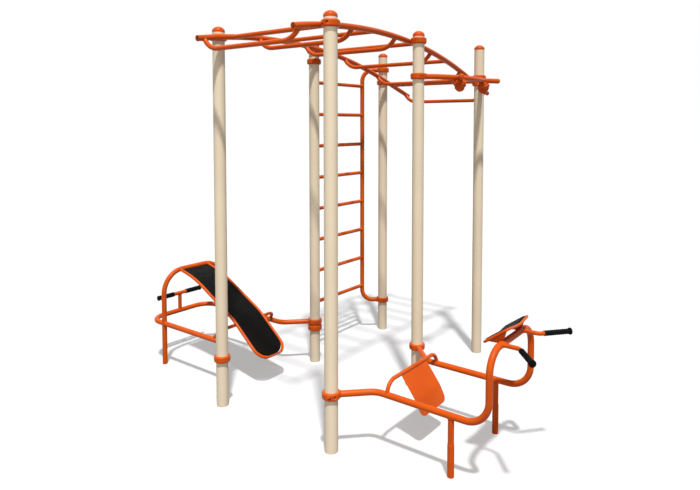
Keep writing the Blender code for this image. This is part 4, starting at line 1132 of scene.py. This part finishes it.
# The hip tray is a dished steel plate inside a ring of round bar. Two upright webs weld it to
# the cross tube of the loop, tilted so that its outer edge is the higher one.
TRAY_WIDTH = 0.324
TRAY_LENGTH = 0.185
TRAY_TILT = math.radians(35.6)
TRAY_STANDOFF = 0.053
TRAY_LOW_REACH = 0.128
TRAY_DISH = 0.015
TRAY_FOLD = 0.010
TRAY_GRID = (40, 22)
TRAY_PLATE = 0.004
RIM_BAR = 0.016
RIM_CORNER = 0.025
RIM_SIDES = 18
RIM_PIECES = 12
WEB_SPACING = 0.280
WEB_THICKNESS = 0.006
WEB_MARGIN = 0.012
WEB_EDGE = 0.0010
WEB_SHARP = math.radians(30)

tray_slope = Vector((0, -math.cos(TRAY_TILT), math.sin(TRAY_TILT)))
tray_normal = Vector((0, math.sin(TRAY_TILT), math.cos(TRAY_TILT)))
tray_low = loop_middle + TRAY_STANDOFF * UP - TRAY_LOW_REACH * tray_slope


def dished(point):
    """Carries a point of the tray's flat pattern (across, up, off its face) into its place."""
    fold = math.hypot(point.x, TRAY_FOLD)
    lift = point.z + TRAY_DISH * fold / (TRAY_WIDTH / 2)
    return tray_low + point.x * ALONG + point.y * tray_slope + lift * tray_normal


tray_shape = bmesh.new()
tray_half = TRAY_WIDTH / 2
rim_corners = [
    Vector((0, TRAY_LENGTH, 0)),
    Vector((tray_half, TRAY_LENGTH, 0)),
    Vector((tray_half, 0, 0)),
    Vector((-tray_half, 0, 0)),
    Vector((-tray_half, TRAY_LENGTH, 0)),
    Vector((0, TRAY_LENGTH, 0)),
]
bent_tube(tray_shape, rim_corners, [RIM_CORNER] * 4, RIM_BAR, RIM_SIDES, RIM_PIECES, closed=True)
tray_plate = flat_sheet(TRAY_WIDTH, 0, TRAY_LENGTH, TRAY_GRID, RIM_CORNER, TRAY_PLATE, True)
joined(tray_shape, tray_plate)
for vert in tray_shape.verts:
    vert.co = dished(vert.co)
for side in (-1, 1):
    across = side * WEB_SPACING / 2
    outline = [
        dished(Vector((across, WEB_MARGIN, 0))),
        dished(Vector((across, TRAY_LENGTH - WEB_MARGIN, 0))),
        loop_middle + across * ALONG,
    ]
    web = bmesh.new()
    web_face = web.faces.new([web.verts.new(corner) for corner in outline])
    grown = bmesh.ops.extrude_face_region(web, geom=[web_face])["geom"]
    bmesh.ops.translate(web, vec=WEB_THICKNESS * ALONG, verts=verts_of(grown))
    bmesh.ops.translate(web, vec=-WEB_THICKNESS / 2 * ALONG, verts=web.verts)
    soften(web, WEB_EDGE, 2, WEB_SHARP)
    joined(tray_shape, web)
coated("welded_hip_tray", tray_shape, "hip_pad_tray")

# The hip pad is a moulded rubber skin over foam, bonded into the tray. It follows the dish,
# swells a little towards the middle of each wing and rolls over at its edge.
PAD_CLEARANCE = 0.0113
PAD_THICKNESS = 0.010
PAD_LIFT = 0.0073
PAD_ROLL = 0.0036
PAD_ROLL_SEGMENTS = 4
PAD_CROWN = 0.0035
PAD_CORNER = 0.017
PAD_GRID = (72, 40)
PAD_TONES = ((0.005, 0.005, 0.0047, 1), (0.0035, 0.0035, 0.0035, 1), (0.014, 0.0135, 0.013, 1))
PAD_GLOSS = (620, 0.46, 0.66)
PAD_GRAIN = (0.0005, 0.40)

pad_width = TRAY_WIDTH - 2 * PAD_CLEARANCE
pad_end = TRAY_LENGTH - PAD_CLEARANCE
pad_shape = flat_sheet(
    pad_width, PAD_CLEARANCE, pad_end, PAD_GRID, PAD_CORNER, PAD_THICKNESS, True
)
edge_rounded(pad_shape, PAD_ROLL, PAD_ROLL_SEGMENTS)
for vert in pad_shape.verts:
    wing = abs(vert.co.x) / (pad_width / 2)
    down = 2 * (vert.co.y - PAD_CLEARANCE) / (pad_end - PAD_CLEARANCE) - 1
    if vert.co.z > 0:
        vert.co.z += PAD_CROWN * (1 - (2 * wing - 1) ** 4) * (1 - down**4)
    vert.co.z += PAD_LIFT
    vert.co = dished(vert.co)
pad_skin = finish("pad_skin", rubber, PAD_TONES, PAD_GLOSS, PAD_GRAIN, RUBBER_SPECULAR)
hip_pad = fitted("moulded_hip_pad", pad_shape, pad_skin, "hip_pad")

# The sit-up bench stands behind the first bay. A tall square arch of the same tube rises from
# the ground at its far end, with its feet cut flat.
ARCH_OUT = 2.053
ARCH_TOP = 0.803
ARCH_BEND_RADIUS = 0.190

rear_shape = bmesh.new()
foot = Vector((BENCH_LEFT, ARCH_OUT, 0))
bent_tube(rear_shape, both_sides([foot, foot + ARCH_TOP * UP]), [ARCH_BEND_RADIUS] * 2, MAIN_TUBE)
coated("tall_rear_arch", rear_shape, "rear_arch")

# Two side tubes run from the rear clamps round an elbow to the legs of the arch, each with a
# weld bead at its clamp and at its leg.
SIDE_TUBE_ROOT = 0.004

for word, x in (("left", BENCH_LEFT), ("right", BENCH_RIGHT)):
    side_shape = bmesh.new()
    leg_joint = Vector((x, ARCH_OUT, REAR_BENCH_HEIGHT))
    side_corners = [
        clamp_root("rear_bench_clamp_" + word),
        Vector((x, POST_PITCH + BENCH_LEFT, REAR_BENCH_HEIGHT)),
        leg_joint - SIDE_TUBE_ROOT * ACROSS,
    ]
    bent_tube(side_shape, side_corners, [BENCH_ELBOW_RADIUS], MAIN_TUBE)
    clamp_bead(side_shape, "rear_bench_clamp_" + word)
    weld_bead(side_shape, leg_joint, -ACROSS, UP, MAIN_TUBE, MAIN_TUBE)
    coated("bent_side_tube_" + word, side_shape, "rear_side_tube_" + word)

# A U-shaped end tube closes the frame behind the arch. A stub on its middle carries the cross
# tube of the foot grips.
END_TUBE_OUT = 2.262
END_BEND_RADIUS = 0.140
FOOT_BAR_TUBE = 0.0334
FOOT_BAR_RISE = 0.163
FOOT_BAR_HALF = 0.455 / 2
FOOT_GRIP = 0.043
FOOT_GRIP_FLANGE = 0.046
FOOT_GRIP_LENGTH = 0.160

end_shape = bmesh.new()
end_corners = [
    Vector((BENCH_LEFT, ARCH_OUT + SIDE_TUBE_ROOT, REAR_BENCH_HEIGHT)),
    Vector((BENCH_LEFT, END_TUBE_OUT, REAR_BENCH_HEIGHT)),
]
bent_tube(end_shape, both_sides(end_corners), [END_BEND_RADIUS] * 2, MAIN_TUBE)
for x in (BENCH_LEFT, BENCH_RIGHT):
    leg_joint = Vector((x, ARCH_OUT, REAR_BENCH_HEIGHT))
    weld_bead(end_shape, leg_joint, ACROSS, UP, MAIN_TUBE, MAIN_TUBE)
stub_foot = Vector((BAY_CENTRE, END_TUBE_OUT, REAR_BENCH_HEIGHT))
stub_top = stub_foot + FOOT_BAR_RISE * UP
bar_half = FOOT_BAR_HALF * ALONG
for ends in ([stub_foot, stub_top], [stub_top - bar_half, stub_top + bar_half]):
    bent_tube(end_shape, ends, [], FOOT_BAR_TUBE)
weld_bead(end_shape, stub_foot, UP, ALONG, FOOT_BAR_TUBE, MAIN_TUBE)
weld_bead(end_shape, stub_top, -UP, ALONG, FOOT_BAR_TUBE, FOOT_BAR_TUBE)
coated("end_tube_and_foot_bar", end_shape, "rear_end_tube")
foot_grip = (FOOT_BAR_TUBE, FOOT_GRIP, FOOT_GRIP_FLANGE, FOOT_GRIP_LENGTH)
for word, side in (("left", -1), ("right", 1)):
    ribbed_grip("foot_grip_" + word, stub_top + side * bar_half, side * ALONG, *foot_grip)

# The board's frame is one thin tube bent round its lower end and curved down its length. Its
# two ends are welded to the crest of the tall arch.
BOARD_TUBE = 0.0240
BOARD_WIDTH = 0.296
BOARD_CORNER = 0.110
CREST_TILT = math.radians(15)
HIGH_TILT = math.radians(28.5)
LOW_TILT = math.radians(39.5)
CREST_LENGTH = 0.120
CREST_RADIUS = 0.900
HIGH_LENGTH = 0.400
LOW_RADIUS = 0.420
LOW_LENGTH = 0.380
FRAME_SIDES = 20
FRAME_PIECES = 50

board_runs = [
    (CREST_LENGTH, CREST_TILT, CREST_TILT),
    (CREST_RADIUS * (HIGH_TILT - CREST_TILT), CREST_TILT, HIGH_TILT),
    (HIGH_LENGTH, HIGH_TILT, HIGH_TILT),
    (LOW_RADIUS * (LOW_TILT - HIGH_TILT), HIGH_TILT, LOW_TILT),
    (LOW_LENGTH, LOW_TILT, LOW_TILT),
]
board_end = sum(length for length, first, last in board_runs)
board_top = Vector((BAY_CENTRE, ARCH_OUT, ARCH_TOP))
frame_shape = bmesh.new()
frame_half = BOARD_WIDTH / 2
frame_corners = [
    Vector((-frame_half, 0, 0)),
    Vector((-frame_half, board_end, 0)),
    Vector((frame_half, board_end, 0)),
    Vector((frame_half, 0, 0)),
]
frame_bends = [BOARD_CORNER] * 2
bent_tube(frame_shape, frame_corners, frame_bends, BOARD_TUBE, FRAME_SIDES, FRAME_PIECES)
sloped(frame_shape, board_top, board_runs)
crest_way = Vector((0, -math.cos(CREST_TILT), -math.sin(CREST_TILT)))
for side in (-1, 1):
    joint = board_top + side * frame_half * ALONG
    weld_bead(frame_shape, joint, crest_way, ALONG, BOARD_TUBE, MAIN_TUBE)
coated("curved_board_frame", frame_shape, "board_frame")

# A low arch of thin tube leans under the board and carries its frame. It stands on the two
# side tubes, square to the board.
SUPPORT_FOOT = Vector((BAY_CENTRE, 1.4071, REAR_BENCH_HEIGHT))
SUPPORT_RISE = 0.1073
SUPPORT_DOWN = 0.812

support_tilt = run_down(board_runs, SUPPORT_DOWN)[2]
support_way = Vector((0, -math.sin(support_tilt), math.cos(support_tilt)))
support_shape = cross_arch(SUPPORT_FOOT, support_way, SUPPORT_RISE)
coated("leaning_support_arch", support_shape, "support_arch")

# The board itself is a thick sheet of black plastic with a pebbled face, formed to the frame
# and held inside it. Its edge is rounded, and long faint scuffs run down it.
BOARD_MARGIN = 0.0123
BOARD_START = 0.0331
BOARD_THICKNESS = 0.012
BOARD_EDGE = 0.0032
BOARD_GRID = (34, 130)
BOARD_TONES = ((0.0045, 0.0042, 0.004, 1), (0.003, 0.003, 0.0028, 1), (0.010, 0.0095, 0.009, 1))
BOARD_GLOSS = (480, 0.42, 0.58)
BOARD_GRAIN = (0.0005, 0.45)
SCUFF_STRETCH = (60, 3, 3)
SCUFF_SCALE = 5
SCUFF_STRENGTH = 0.6
SCUFF_COLOUR = (0.014, 0.0135, 0.0125, 1)

board_low = board_end - BOARD_MARGIN
board_width = BOARD_WIDTH - 2 * BOARD_MARGIN
board_shape = flat_sheet(
    board_width, BOARD_START, board_low, BOARD_GRID, BOARD_CORNER, BOARD_THICKNESS
)
edge_rounded(board_shape, BOARD_EDGE, 3)
sloped(board_shape, board_top, board_runs)
plastic = finish("board_plastic", rubber, BOARD_TONES, BOARD_GLOSS, BOARD_GRAIN, RUBBER_SPECULAR)
tree = plastic.node_tree
place = new_node(tree, "ShaderNodeTexCoord", {}).outputs["Object"]
drawn = new_node(tree, "ShaderNodeMapping", {"Vector": place, "Scale": SCUFF_STRETCH})
marks = noise_field(tree, drawn.outputs["Vector"], SCUFF_SCALE, 4)
scuffs = ranged(tree, marks, 0.60, 0.78, 0, SCUFF_STRENGTH)
base = tree.nodes["Principled BSDF"].inputs["Base Color"]
feed(tree, base, mixed(tree, scuffs, base.links[0].from_socket, SCUFF_COLOUR))
fitted("formed_sit_up_board", board_shape, plastic, "sit_up_board")
